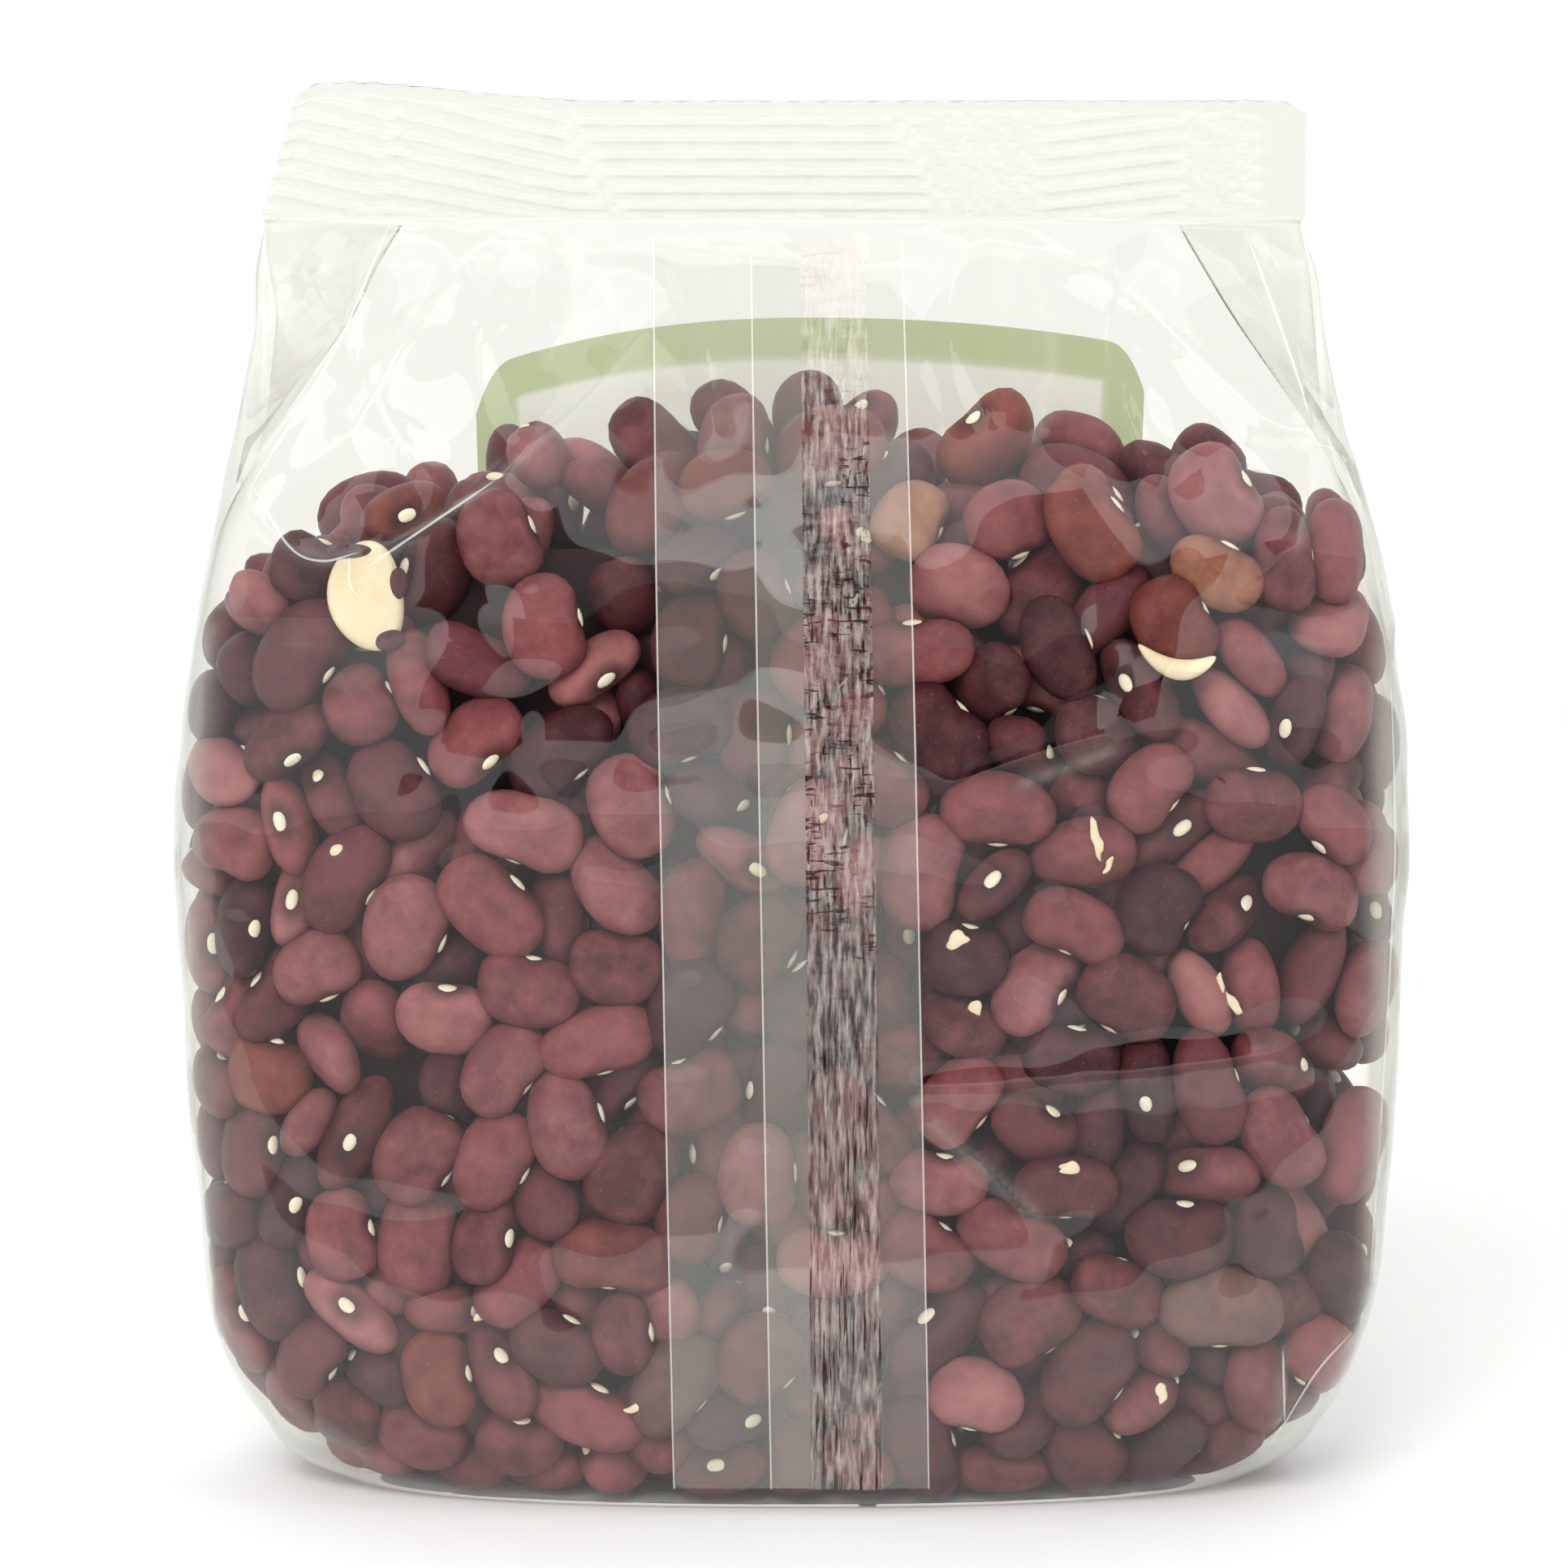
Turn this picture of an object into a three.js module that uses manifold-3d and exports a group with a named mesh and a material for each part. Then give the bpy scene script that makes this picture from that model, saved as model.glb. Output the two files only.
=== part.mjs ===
// A clear side-gusset film bag of dried red beans, sealed at the top and standing on its folded base.
// Millimetres, +Z up. The origin is at the middle of the base. The lapped back seam faces -Y.
import * as THREE from "three";
import { mergeVertices } from "three/addons/utils/BufferGeometryUtils.js";
import Module from "manifold-3d";

// The whole bag
const BAG_HEIGHT = 153.5;
const BELLY_WIDTH = 136;
const BELLY_DEPTH = 45;

// The flat base that the bag stands on
const BASE_WIDTH = 100;
const BASE_DEPTH = 32;

// The crimped seal: both panels and the folded gussets, welded flat
const SEAL_HEIGHT = 13;
const SEAL_WIDTH = 112;
const SEAL_THICKNESS = 0.6;
const SEAL_TAIL = 1.6; // uncrimped film above the ribs
const RIB_COUNT = 6;
const RIB_DEPTH = 0.35;
const TOOTH_PITCH = 3; // zigzag cut along the top edge
const TOOTH_DEPTH = 0.8;

// The side gussets, folded in between the panels above the beans
const GUSSET_START = 104;
const GUSSET_DEPTH = 15;
const GUSSET_SPREAD = 0.8; // how much of the half depth each fold takes up

// How square the section is, at the base, where the beans fill the film and where the empty film is folded
const BASE_SQUARENESS = 2.3;
const FILLED_SQUARENESS = 3.1;
const FOLDED_SQUARENESS = 11;
const ROUND_BOTTOM = 14;
const ROUND_TOP = 96;
const FOLD_FULL = 132;

// The back seam: one edge of the film lapped over the other and welded down the back
const SEAM_LEFT = -16.5;
const SEAM_RIGHT = 13.5;
const SEAM_FOOT = 5;
const SEAM_RAISE = 0.5;
const SEAM_ROOT = 1.5; // how far the band is sunk into the pouch, so that the two join

// How finely the pouch is faceted
const RING_POINTS = 72;
const RING_COUNT = 46;
const RING_BUNCHING = 0.09;
const SEAM_STEPS = 24;

const SEAL_FOOT = BAG_HEIGHT - SEAL_HEIGHT;
const SEAL_LAP = 0.5; // the pouch and the seam run this far up into the seal

const wasm = await Module();
wasm.setup();

// Half width and half depth of the pouch at a few heights. Between them it runs as one smooth curve.
const outline = new THREE.CubicInterpolant(
  [0, 2.2, 7.5, 18, 35, 57, 79, 95, 106, 117, 128, 136, SEAL_FOOT],
  [
    [BASE_WIDTH / 2, BASE_DEPTH / 2],
    [55.2, 18.4],
    [60, 20.4],
    [65, 21.8],
    [66.8, 22.4],
    [67.9, BELLY_DEPTH / 2],
    [BELLY_WIDTH / 2, 22.3],
    [66, 21],
    [63.3, 18.4],
    [60.3, 14.4],
    [58.3, 9],
    [57.1, 4.2],
    [SEAL_WIDTH / 2, SEAL_THICKNESS / 2],
  ].flat(),
  2,
  new Float32Array(2),
);

// How deep the side is folded in at a height.
function gussetDepth(z) {
  if (z >= SEAL_FOOT) return 0;
  return GUSSET_DEPTH * THREE.MathUtils.smoothstep(z, GUSSET_START, SEAL_FOOT + SEAL_HEIGHT / 2);
}

// How square the pouch is at a height: 2 is an ellipse, more is boxier. The base is nearly oval, the film is
// round where the beans fill it, and it has sharp edges above them, where the gussets are folded in.
function squareness(z) {
  const { lerp, smoothstep } = THREE.MathUtils;
  const filled = lerp(BASE_SQUARENESS, FILLED_SQUARENESS, smoothstep(z, 0, ROUND_BOTTOM));
  return lerp(filled, FOLDED_SQUARENESS, smoothstep(z, ROUND_TOP, FOLD_FULL));
}

// One point of the pouch wall, by its angle round the bag and its height.
function wallPoint(angle, z) {
  const [halfWidth, halfDepth] = outline.evaluate(z);
  const c = Math.cos(angle);
  const s = Math.sin(angle);
  const power = squareness(z);
  const reach = (Math.abs(c) ** power + Math.abs(s) ** power) ** (-1 / power);
  let x = halfWidth * reach * c;
  const y = halfDepth * reach * s;
  const fold = Math.max(0, 1 - Math.abs(y) / (GUSSET_SPREAD * halfDepth));
  x -= Math.sign(c) * gussetDepth(z) * fold;
  return [x, y, z];
}

// Rings stand closer together where the base turns under and where the film closes in to the seal.
function ringHeight(i) {
  const t = i / (RING_COUNT - 1);
  return (SEAL_FOOT + SEAL_LAP) * (t - RING_BUNCHING * Math.sin(2 * Math.PI * t));
}

// A closed three.js geometry as a solid that can be joined or cut.
function solidFrom(geometry) {
  const bare = geometry.clone();
  bare.deleteAttribute("normal");
  bare.deleteAttribute("uv");
  const merged = mergeVertices(bare, 1e-4);
  return new wasm.Manifold(
    new wasm.Mesh({
      numProp: 3,
      vertProperties: new Float32Array(merged.attributes.position.array),
      triVerts: new Uint32Array(merged.index.array),
    }),
  );
}

// A solid as a flat-shaded three.js geometry.
function geometryFrom(solid) {
  const mesh = solid.getMesh();
  const geometry = new THREE.BufferGeometry();
  geometry.setAttribute("position", new THREE.BufferAttribute(mesh.vertProperties, 3));
  geometry.setIndex(new THREE.BufferAttribute(mesh.triVerts, 1));
  const flat = geometry.toNonIndexed();
  flat.computeVertexNormals();
  return flat;
}

// The filled pouch, from its flat base to just inside the seal.
function makePouch() {
  const positions = [];
  for (let i = 0; i < RING_COUNT; i++) {
    for (let j = 0; j < RING_POINTS; j++) {
      positions.push(...wallPoint((2 * Math.PI * j) / RING_POINTS, ringHeight(i)));
    }
  }
  const at = (i, j) => i * RING_POINTS + (j % RING_POINTS);
  const faces = [];
  for (let i = 0; i + 1 < RING_COUNT; i++) {
    for (let j = 0; j < RING_POINTS; j++) {
      faces.push(at(i, j), at(i, j + 1), at(i + 1, j + 1));
      faces.push(at(i, j), at(i + 1, j + 1), at(i + 1, j));
    }
  }
  const middle = positions.length / 3;
  positions.push(0, 0, 0);
  positions.push(0, 0, ringHeight(RING_COUNT - 1));
  for (let j = 0; j < RING_POINTS; j++) {
    faces.push(middle, at(0, j + 1), at(0, j));
    faces.push(middle + 1, at(RING_COUNT - 1, j), at(RING_COUNT - 1, j + 1));
  }
  const geometry = new THREE.BufferGeometry();
  geometry.setAttribute("position", new THREE.Float32BufferAttribute(positions, 3));
  geometry.setIndex(faces);
  return solidFrom(geometry);
}

// A profile drawn across the bag, in Y and Z, run along X from one side to the other.
function runAlongX(points, left, right) {
  const shape = new THREE.Shape(points.map(([y, z]) => new THREE.Vector2(y, z)));
  const geometry = new THREE.ExtrudeGeometry(shape, { depth: right - left, bevelEnabled: false });
  // The profile's own x, y and depth become the bag's Y, Z and X.
  geometry.applyMatrix4(new THREE.Matrix4().makeBasis(
    new THREE.Vector3(0, 1, 0),
    new THREE.Vector3(0, 0, 1),
    new THREE.Vector3(1, 0, 0),
  ));
  geometry.translate(left, 0, 0);
  return solidFrom(geometry);
}

// The seal strip: the jaws leave ribs across both of its faces.
function makeSeal() {
  const pitch = (SEAL_HEIGHT - SEAL_TAIL) / RIB_COUNT;
  const face = SEAL_THICKNESS / 2;
  const back = [[-face, SEAL_FOOT]];
  for (let rib = 0; rib < RIB_COUNT; rib++) {
    const foot = SEAL_FOOT + rib * pitch;
    back.push([-face, foot + 0.2 * pitch]);
    back.push([-face - RIB_DEPTH, foot + 0.5 * pitch]);
    back.push([-face, foot + 0.8 * pitch]);
  }
  back.push([-face, BAG_HEIGHT]);
  const front = back.map(([y, z]) => [-y, z]).reverse();
  return runAlongX([...back, ...front], -SEAL_WIDTH / 2, SEAL_WIDTH / 2);
}

// What the toothed knife cuts away from the top edge.
function makeTeeth() {
  const count = Math.round(SEAL_WIDTH / TOOTH_PITCH);
  const pitch = SEAL_WIDTH / count;
  const side = SEAL_WIDTH / 2 + TOOTH_PITCH;
  const above = BAG_HEIGHT + TOOTH_PITCH;
  const depth = 4 * SEAL_THICKNESS;
  const shape = new THREE.Shape();
  shape.moveTo(-side, above);
  shape.lineTo(-side, BAG_HEIGHT);
  for (let tooth = 0; tooth < count; tooth++) {
    const x = -SEAL_WIDTH / 2 + tooth * pitch;
    shape.lineTo(x, BAG_HEIGHT - TOOTH_DEPTH);
    shape.lineTo(x + pitch / 2, BAG_HEIGHT);
  }
  shape.lineTo(SEAL_WIDTH / 2, BAG_HEIGHT - TOOTH_DEPTH);
  shape.lineTo(side, BAG_HEIGHT);
  shape.lineTo(side, above);
  const geometry = new THREE.ExtrudeGeometry(shape, { depth, bevelEnabled: false });
  geometry.translate(0, 0, -depth / 2);
  geometry.rotateX(Math.PI / 2);
  return solidFrom(geometry);
}

// The lapped seam: a raised band that follows the back of the pouch up into the seal.
function makeBackSeam() {
  const outer = [];
  for (let i = 0; i <= SEAM_STEPS; i++) {
    const z = THREE.MathUtils.lerp(SEAM_FOOT, SEAL_FOOT + SEAL_LAP, i / SEAM_STEPS);
    outer.push([wallPoint(-Math.PI / 2, z)[1] - SEAM_RAISE, z]);
  }
  const inner = outer.map(([y, z]) => [Math.min(y + SEAM_RAISE + SEAM_ROOT, 0), z]);
  return runAlongX([...inner, ...outer.reverse()], SEAM_LEFT, SEAM_RIGHT);
}

const film = new THREE.MeshStandardMaterial({ color: 0x8a4f50, roughness: 0.25, metalness: 0 });

const bagSolid = makePouch().add(makeSeal()).add(makeBackSeam()).subtract(makeTeeth());
const bag = new THREE.Mesh(geometryFrom(bagSolid), film);
bag.name = "bag";

const part = new THREE.Group();
part.add(bag);

export default part;
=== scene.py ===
import math

import bpy
import numpy as np
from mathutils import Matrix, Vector
from mathutils.bvhtree import BVHTree


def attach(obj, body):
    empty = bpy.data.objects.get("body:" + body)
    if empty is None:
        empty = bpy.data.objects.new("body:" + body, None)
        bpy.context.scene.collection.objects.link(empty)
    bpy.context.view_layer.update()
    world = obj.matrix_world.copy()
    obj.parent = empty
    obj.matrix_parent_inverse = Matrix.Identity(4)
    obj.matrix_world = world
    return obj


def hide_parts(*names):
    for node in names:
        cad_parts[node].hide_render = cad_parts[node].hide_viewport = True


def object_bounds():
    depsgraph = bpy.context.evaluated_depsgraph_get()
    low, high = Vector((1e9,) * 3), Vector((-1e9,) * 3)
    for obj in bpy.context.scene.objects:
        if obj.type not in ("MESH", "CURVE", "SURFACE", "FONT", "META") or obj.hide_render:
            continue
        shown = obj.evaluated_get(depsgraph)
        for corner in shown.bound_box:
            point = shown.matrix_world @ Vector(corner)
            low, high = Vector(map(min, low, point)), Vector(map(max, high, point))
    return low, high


# A clear side-gusset film bag of dried red beans, standing on its folded base.
# Shapes are worked out in millimetres and turned to metres when a mesh is made.
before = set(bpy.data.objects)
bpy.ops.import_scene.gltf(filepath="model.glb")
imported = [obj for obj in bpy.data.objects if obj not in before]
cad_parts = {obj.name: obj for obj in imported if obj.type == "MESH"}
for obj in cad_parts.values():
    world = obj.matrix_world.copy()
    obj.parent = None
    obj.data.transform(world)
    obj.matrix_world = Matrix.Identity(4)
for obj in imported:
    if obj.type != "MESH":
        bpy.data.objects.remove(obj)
cad_low, cad_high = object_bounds()

MM = 0.001
WIDTH = (cad_high.x - cad_low.x) / MM
HEIGHT = cad_high.z / MM
FRONT_DEPTH = cad_high.y / MM
SEAL_HEIGHT = 13.0
SEAL_FOOT = HEIGHT - SEAL_HEIGHT
BACK = -1  # the lapped seam is on the -Y side
FRONT = 1


# ---------------------------------------------------------------- small tools


def colour(text, alpha=1.0):
    """An sRGB hex value as linear light."""
    channels = [int(text[i:i + 2], 16) / 255 for i in (1, 3, 5)]
    linear = [c / 12.92 if c <= 0.04045 else ((c + 0.055) / 1.055) ** 2.4 for c in channels]
    return (*linear, alpha)


def add(tree, kind, inputs=None, **settings):
    """Adds one node with its settings. An input given a socket is linked to it, any other is set."""
    node = tree.nodes.new("ShaderNode" + kind)
    for name, value in settings.items():
        setattr(node, name, value)
    for key, value in (inputs or {}).items():
        if isinstance(value, bpy.types.NodeSocket):
            tree.links.new(value, node.inputs[key])
        else:
            node.inputs[key].default_value = value
    return node


def new_material(name):
    material = bpy.data.materials.new(name)
    material.use_nodes = True
    material.node_tree.nodes.clear()
    return material, material.node_tree


def mix_colours(tree, amount, first, second, blend="MIX"):
    node = add(tree, "Mix", data_type="RGBA", blend_type=blend)
    for key, value in ((0, amount), (6, first), (7, second)):
        if isinstance(value, bpy.types.NodeSocket):
            tree.links.new(value, node.inputs[key])
        else:
            node.inputs[key].default_value = value
    return node.outputs[2]


def make_mesh(name, points, faces, material, smooth=True):
    """A mesh object from points in millimetres."""
    mesh = bpy.data.meshes.new(name)
    faces = np.asarray(faces, dtype=np.int32)
    sides = faces.shape[1]
    mesh.vertices.add(len(points))
    mesh.vertices.foreach_set("co", (np.asarray(points, dtype=np.float32) * MM).ravel())
    mesh.loops.add(faces.size)
    mesh.loops.foreach_set("vertex_index", faces.ravel())
    mesh.polygons.add(len(faces))
    mesh.polygons.foreach_set("loop_start", np.arange(0, faces.size, sides, dtype=np.int32))
    mesh.update(calc_edges=True)
    mesh.polygons.foreach_set("use_smooth", np.full(len(faces), smooth))
    mesh.validate()
    mesh.materials.append(material)
    piece = bpy.data.objects.new(name, mesh)
    bpy.context.scene.collection.objects.link(piece)
    return piece


def set_attribute(piece, name, kind, values):
    key = "vector" if kind == "FLOAT_VECTOR" else "value"
    attribute = piece.data.attributes.new(name, kind, "POINT")
    attribute.data.foreach_set(key, np.asarray(values, dtype=np.float32).ravel())


def grid_faces(rows, columns, closed=False):
    """Quads of a grid of points, row by row. A closed grid joins its last column to its first."""
    across = np.arange(columns if closed else columns - 1)
    up = np.arange(rows - 1)[:, None]
    right = (across + 1) % columns
    return np.stack([
        up * columns + across,
        up * columns + right,
        (up + 1) * columns + right,
        (up + 1) * columns + across,
    ], axis=-1).reshape(-1, 4)


def smoothstep(low, high, value):
    t = np.clip((value - low) / (high - low), 0, 1)
    return t * t * (3 - 2 * t)


def soft_noise(points, size, seed, waves=22):
    """A smooth random height from -1 to 1, with lumps of about the given size."""
    rng = np.random.default_rng(seed)
    ways = rng.normal(size=(waves, 3))
    ways *= (math.pi / size) * rng.uniform(0.6, 1.25, (waves, 1)) / np.linalg.norm(ways, axis=1)[:, None]
    phases = rng.uniform(0, 2 * math.pi, waves)
    return np.cos(points @ ways.T + phases).sum(axis=1) / math.sqrt(2 * waves)


# ---------------------------------------------------------------- the pouch

# Half width and half depth of the pouch at a few heights, as on the solid.
STATIONS = np.array([0, 2.2, 7.5, 18, 35, 57, 79, 95, 106, 117, 128, 136, SEAL_FOOT])
HALF_WIDTHS = np.array([50, 55.2, 60, 65, 66.8, 67.9, WIDTH / 2, 66, 63.3, 60.3, 58.3, 57.1, 56])
HALF_DEPTHS = np.array([16, 18.4, 20.4, 21.8, 22.4, FRONT_DEPTH, 22.3, 21, 18.4, 14.4, 9, 4.2, 0.2])
GUSSET_START = 104.0
GUSSET_DEPTH = 15.0
GUSSET_SPREAD = 0.8  # how much of the half depth each gusset fold takes up

# How square the section is at the base, and how much more so where the beans fill it and where it is folded
BASE_SQUARENESS = 2.3
FILLED_MORE = 0.8
FOLDED_MORE = 7.9
ROUND_BOTTOM = 14
ROUND_TOP = 96
FOLD_FULL = 132


def through(z, values):
    """A smooth curve through the values at the stations."""
    slopes = np.gradient(values, STATIONS)
    i = np.clip(np.searchsorted(STATIONS, z) - 1, 0, len(STATIONS) - 2)
    span = STATIONS[i + 1] - STATIONS[i]
    t = np.clip((z - STATIONS[i]) / span, 0, 1)
    t2 = t * t
    t3 = t2 * t
    return (
        (2 * t3 - 3 * t2 + 1) * values[i]
        + (t3 - 2 * t2 + t) * span * slopes[i]
        + (3 * t2 - 2 * t3) * values[i + 1]
        + (t3 - t2) * span * slopes[i + 1]
    )


def squareness(z):
    """2 is an oval section, more is boxier."""
    filled = FILLED_MORE * smoothstep(0, ROUND_BOTTOM, z)
    folded = FOLDED_MORE * smoothstep(ROUND_TOP, FOLD_FULL, z)
    return BASE_SQUARENESS + filled + folded


def wall_point(angle, z):
    """A point of the pouch wall, by its angle round the bag and its height."""
    c = np.cos(angle)
    s = np.sin(angle)
    power = squareness(z)
    reach = (np.abs(c) ** power + np.abs(s) ** power) ** (-1 / power)
    depth = through(z, HALF_DEPTHS)
    y = depth * reach * s
    fold = np.clip(1 - np.abs(y) / np.maximum(GUSSET_SPREAD * depth, 0.05), 0, 1)
    gusset = GUSSET_DEPTH * smoothstep(GUSSET_START, SEAL_FOOT + 6, z) * (z < SEAL_FOOT)
    x = through(z, HALF_WIDTHS) * reach * c - np.sign(c) * gusset * fold
    return np.stack([x, y, z + 0 * x], axis=-1)


def panel_point(x, z, side):
    """A point of the back or front panel, by its place across the bag and its height."""
    power = squareness(z)
    across = np.clip(np.abs(x) / through(z, HALF_WIDTHS), 0, 1)
    y = side * through(z, HALF_DEPTHS) * (1 - across ** power) ** (1 / power)
    return np.stack([x, y, z], axis=-1)


# ---------------------------------------------------------------- the beans

# A small red bean, on average
BEAN_LENGTH = 11.6
BEAN_WIDTH = 8.2
BEAN_THICKNESS = 5.7
BEAN_COUNT = 1190
PACKING_STEPS = 280
SHOWN_DEPTH = 12.0  # beans with their middle deeper than this behind the film can't be seen

# While it is packed, a bean is eight balls: one at each end and six along its middle.
BALLS = np.array([
    (3.35, 0, 0), (-3.35, 0, 0), (1.8, 1.2, 0), (1.8, -1.2, 0),
    (-1.8, 1.2, 0), (-1.8, -1.2, 0), (0, 1.3, 0), (0, -1.3, 0),
])
BALL_RADII = np.array([2.35, 2.35, 2.68, 2.68, 2.68, 2.68, 2.82, 2.82])
TURN_REACH = 3.0 ** 2  # how much a bean turns rather than slides when it is pushed
FILM_GAP = 0.55  # between the beans and the film
CORNER_GAP = 3.2  # the further gap that they leave in the corners of the base
FLOOR_GAP = 0.9
SINKING = 0.03  # how far the beans sink at each step of the packing


HEAP_HEIGHT = 126.5
HEAP_FALL_LEFT = 25.5
HEAP_FALL_RIGHT = 17.5


def heap_top(x):
    """How high the beans reach across the bag. They are heaped in the middle and lower on the left."""
    left = HEAP_FALL_LEFT * np.clip(-x / 61, 0, None) ** 3.1
    right = HEAP_FALL_RIGHT * np.clip(x / 64, 0, None) ** 2.3
    return HEAP_HEIGHT - left - right


def bean_room(z):
    """Half width and half depth of the room for beans. They don't reach into the corners of the base."""
    inset = FILM_GAP + CORNER_GAP * (1 - smoothstep(0, 15, z))
    return through(z, HALF_WIDTHS) - inset, through(z, HALF_DEPTHS) - 0.5 - 0.3 * inset, squareness(z)


def wall_gap(points):
    """How far each point is inside the room for beans, and which way the inside is."""
    def fullness(z):
        half_width, half_depth, power = bean_room(z)
        across = np.abs(points[:, 0]) / half_width
        deep = np.abs(points[:, 1]) / half_depth
        return np.maximum((across ** power + deep ** power) ** (1 / power), 1e-6), across, deep

    half_width, half_depth, power = bean_room(points[:, 2])
    full, across, deep = fullness(points[:, 2])
    above, _, _ = fullness(points[:, 2] + 0.5)
    slope = np.stack([
        across ** (power - 1) * full ** (1 - power) / half_width * np.sign(points[:, 0]),
        deep ** (power - 1) * full ** (1 - power) / half_depth * np.sign(points[:, 1]),
        (above - full) / 0.5,
    ], axis=1)
    steep = np.linalg.norm(slope, axis=1) + 1e-9
    return (1 - full) / steep, -slope / steep[:, None]


def multiply(a, b):
    """The product of two sets of quaternions."""
    w1, x1, y1, z1 = a.T
    w2, x2, y2, z2 = b.T
    return np.stack([
        w1 * w2 - x1 * x2 - y1 * y2 - z1 * z2,
        w1 * x2 + x1 * w2 + y1 * z2 - z1 * y2,
        w1 * y2 - x1 * z2 + y1 * w2 + z1 * x2,
        w1 * z2 + x1 * y2 - y1 * x2 + z1 * w2,
    ], axis=1)


def matrices(turns):
    w, x, y, z = turns.T
    return np.stack([
        1 - 2 * (y * y + z * z), 2 * (x * y - w * z), 2 * (x * z + w * y),
        2 * (x * y + w * z), 1 - 2 * (x * x + z * z), 2 * (y * z - w * x),
        2 * (x * z - w * y), 2 * (y * z + w * x), 1 - 2 * (x * x + y * y),
    ], axis=1).reshape(-1, 3, 3)


def unit(vectors):
    return vectors / np.linalg.norm(vectors, axis=1)[:, None]


def facing(normals, spin):
    """Turns that lay a bean's flat side along each normal, after a spin about it."""
    lay = np.stack([1 + normals[:, 2], -normals[:, 1], normals[:, 0], 0 * spin], axis=1)
    about = np.stack([np.cos(spin / 2), 0 * spin, 0 * spin, np.sin(spin / 2)], axis=1)
    return multiply(unit(lay), about)


# Beans that stand out on the seam side: kind, place across and up the bag, and lean in degrees
ODD_BEANS = (
    ("split", -46.0, 100.5, 97),
    ("russet", 41.0, 97.5, 118),
    ("tan", 45.5, 103.0, 150),
    ("russet", 32.0, 108.0, 128),
    ("russet", -7.5, 112.5, 20),
    ("russet", -11.0, 33.0, 78),
    ("grey", 47.0, 22.0, 0),
    ("pink", -52.0, 60.0, 25),
    ("pink", -29.0, 75.5, -18),
    ("pink", -42.0, 64.5, 70),
    ("pink", 20.0, 13.0, -15),
)


def scatter(rng):
    """Random first places for the beans. Near the film they lie flat against it."""
    places = []
    while len(places) < BEAN_COUNT:
        tries = rng.uniform([-66, -22, 2], [66, 22, 126], (4000, 3))
        inside = (wall_gap(tries)[0] > 3) & (tries[:, 2] < heap_top(tries[:, 0]) - 3)
        places.extend(tries[inside])
    places = np.array(places[:BEAN_COUNT])
    turns = unit(rng.normal(size=(BEAN_COUNT, 4)))
    gap, inward = wall_gap(places)
    near = gap < 7
    flat = facing(-inward, rng.uniform(0, math.pi, BEAN_COUNT)) + rng.normal(0, 0.12, (BEAN_COUNT, 4))
    turns[near] = unit(flat)[near]
    return places, turns


def place_odd_beans(places, turns):
    for i, (_, x, z, lean) in enumerate(ODD_BEANS):
        wall = panel_point(np.array([x]), np.array([z]), BACK)[0]
        places[i] = (x, wall[1] + 0.9 + BEAN_THICKNESS / 2, z)
        turns[i] = facing(np.array([[0.0, -1.0, 0.0]]), np.array([math.radians(lean)]))[0]


def pushes_between(centres, arms, radii, pairs, swell):
    """What pushes two overlapping beans apart: for each contact, the bean, its slide and its turn."""
    first, second = pairs
    balls = centres[:, None] + arms
    apart = balls[first][:, :, None] - balls[second][:, None]
    distance = np.sqrt(np.einsum("pabk,pabk->pab", apart, apart)) + 1e-9
    overlap = radii[first][:, :, None] + radii[second][:, None] - distance
    pair, a, b = np.nonzero(overlap > 0)
    way = apart[pair, a, b] / distance[pair, a, b][:, None]
    i = first[pair]
    j = second[pair]
    turn_i = np.cross(arms[i, a] - way * radii[i, a][:, None], way)
    turn_j = np.cross(arms[j, b] + way * radii[j, b][:, None], way)
    reach = TURN_REACH * swell ** 2
    ease = 2 + (np.einsum("ij,ij->i", turn_i, turn_i) + np.einsum("ij,ij->i", turn_j, turn_j)) / reach
    share = (overlap[pair, a, b] / ease)[:, None]
    return [(i, way * share, turn_i * share / reach), (j, -way * share, -turn_j * share / reach)]


def pushes_from(gap, way, arms, radii, swell):
    """What pushes each bean back from a wall."""
    hit = np.nonzero(gap < radii.ravel())[0]
    depth = radii.ravel()[hit] - gap[hit]
    turn = np.cross(arms.reshape(-1, 3)[hit] - way[hit] * radii.ravel()[hit][:, None], way[hit])
    reach = TURN_REACH * swell ** 2
    share = (1.6 * depth / (1 + np.einsum("ij,ij->i", turn, turn) / reach))[:, None]
    return hit // len(BALLS), way[hit] * share, turn * share / reach


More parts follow.
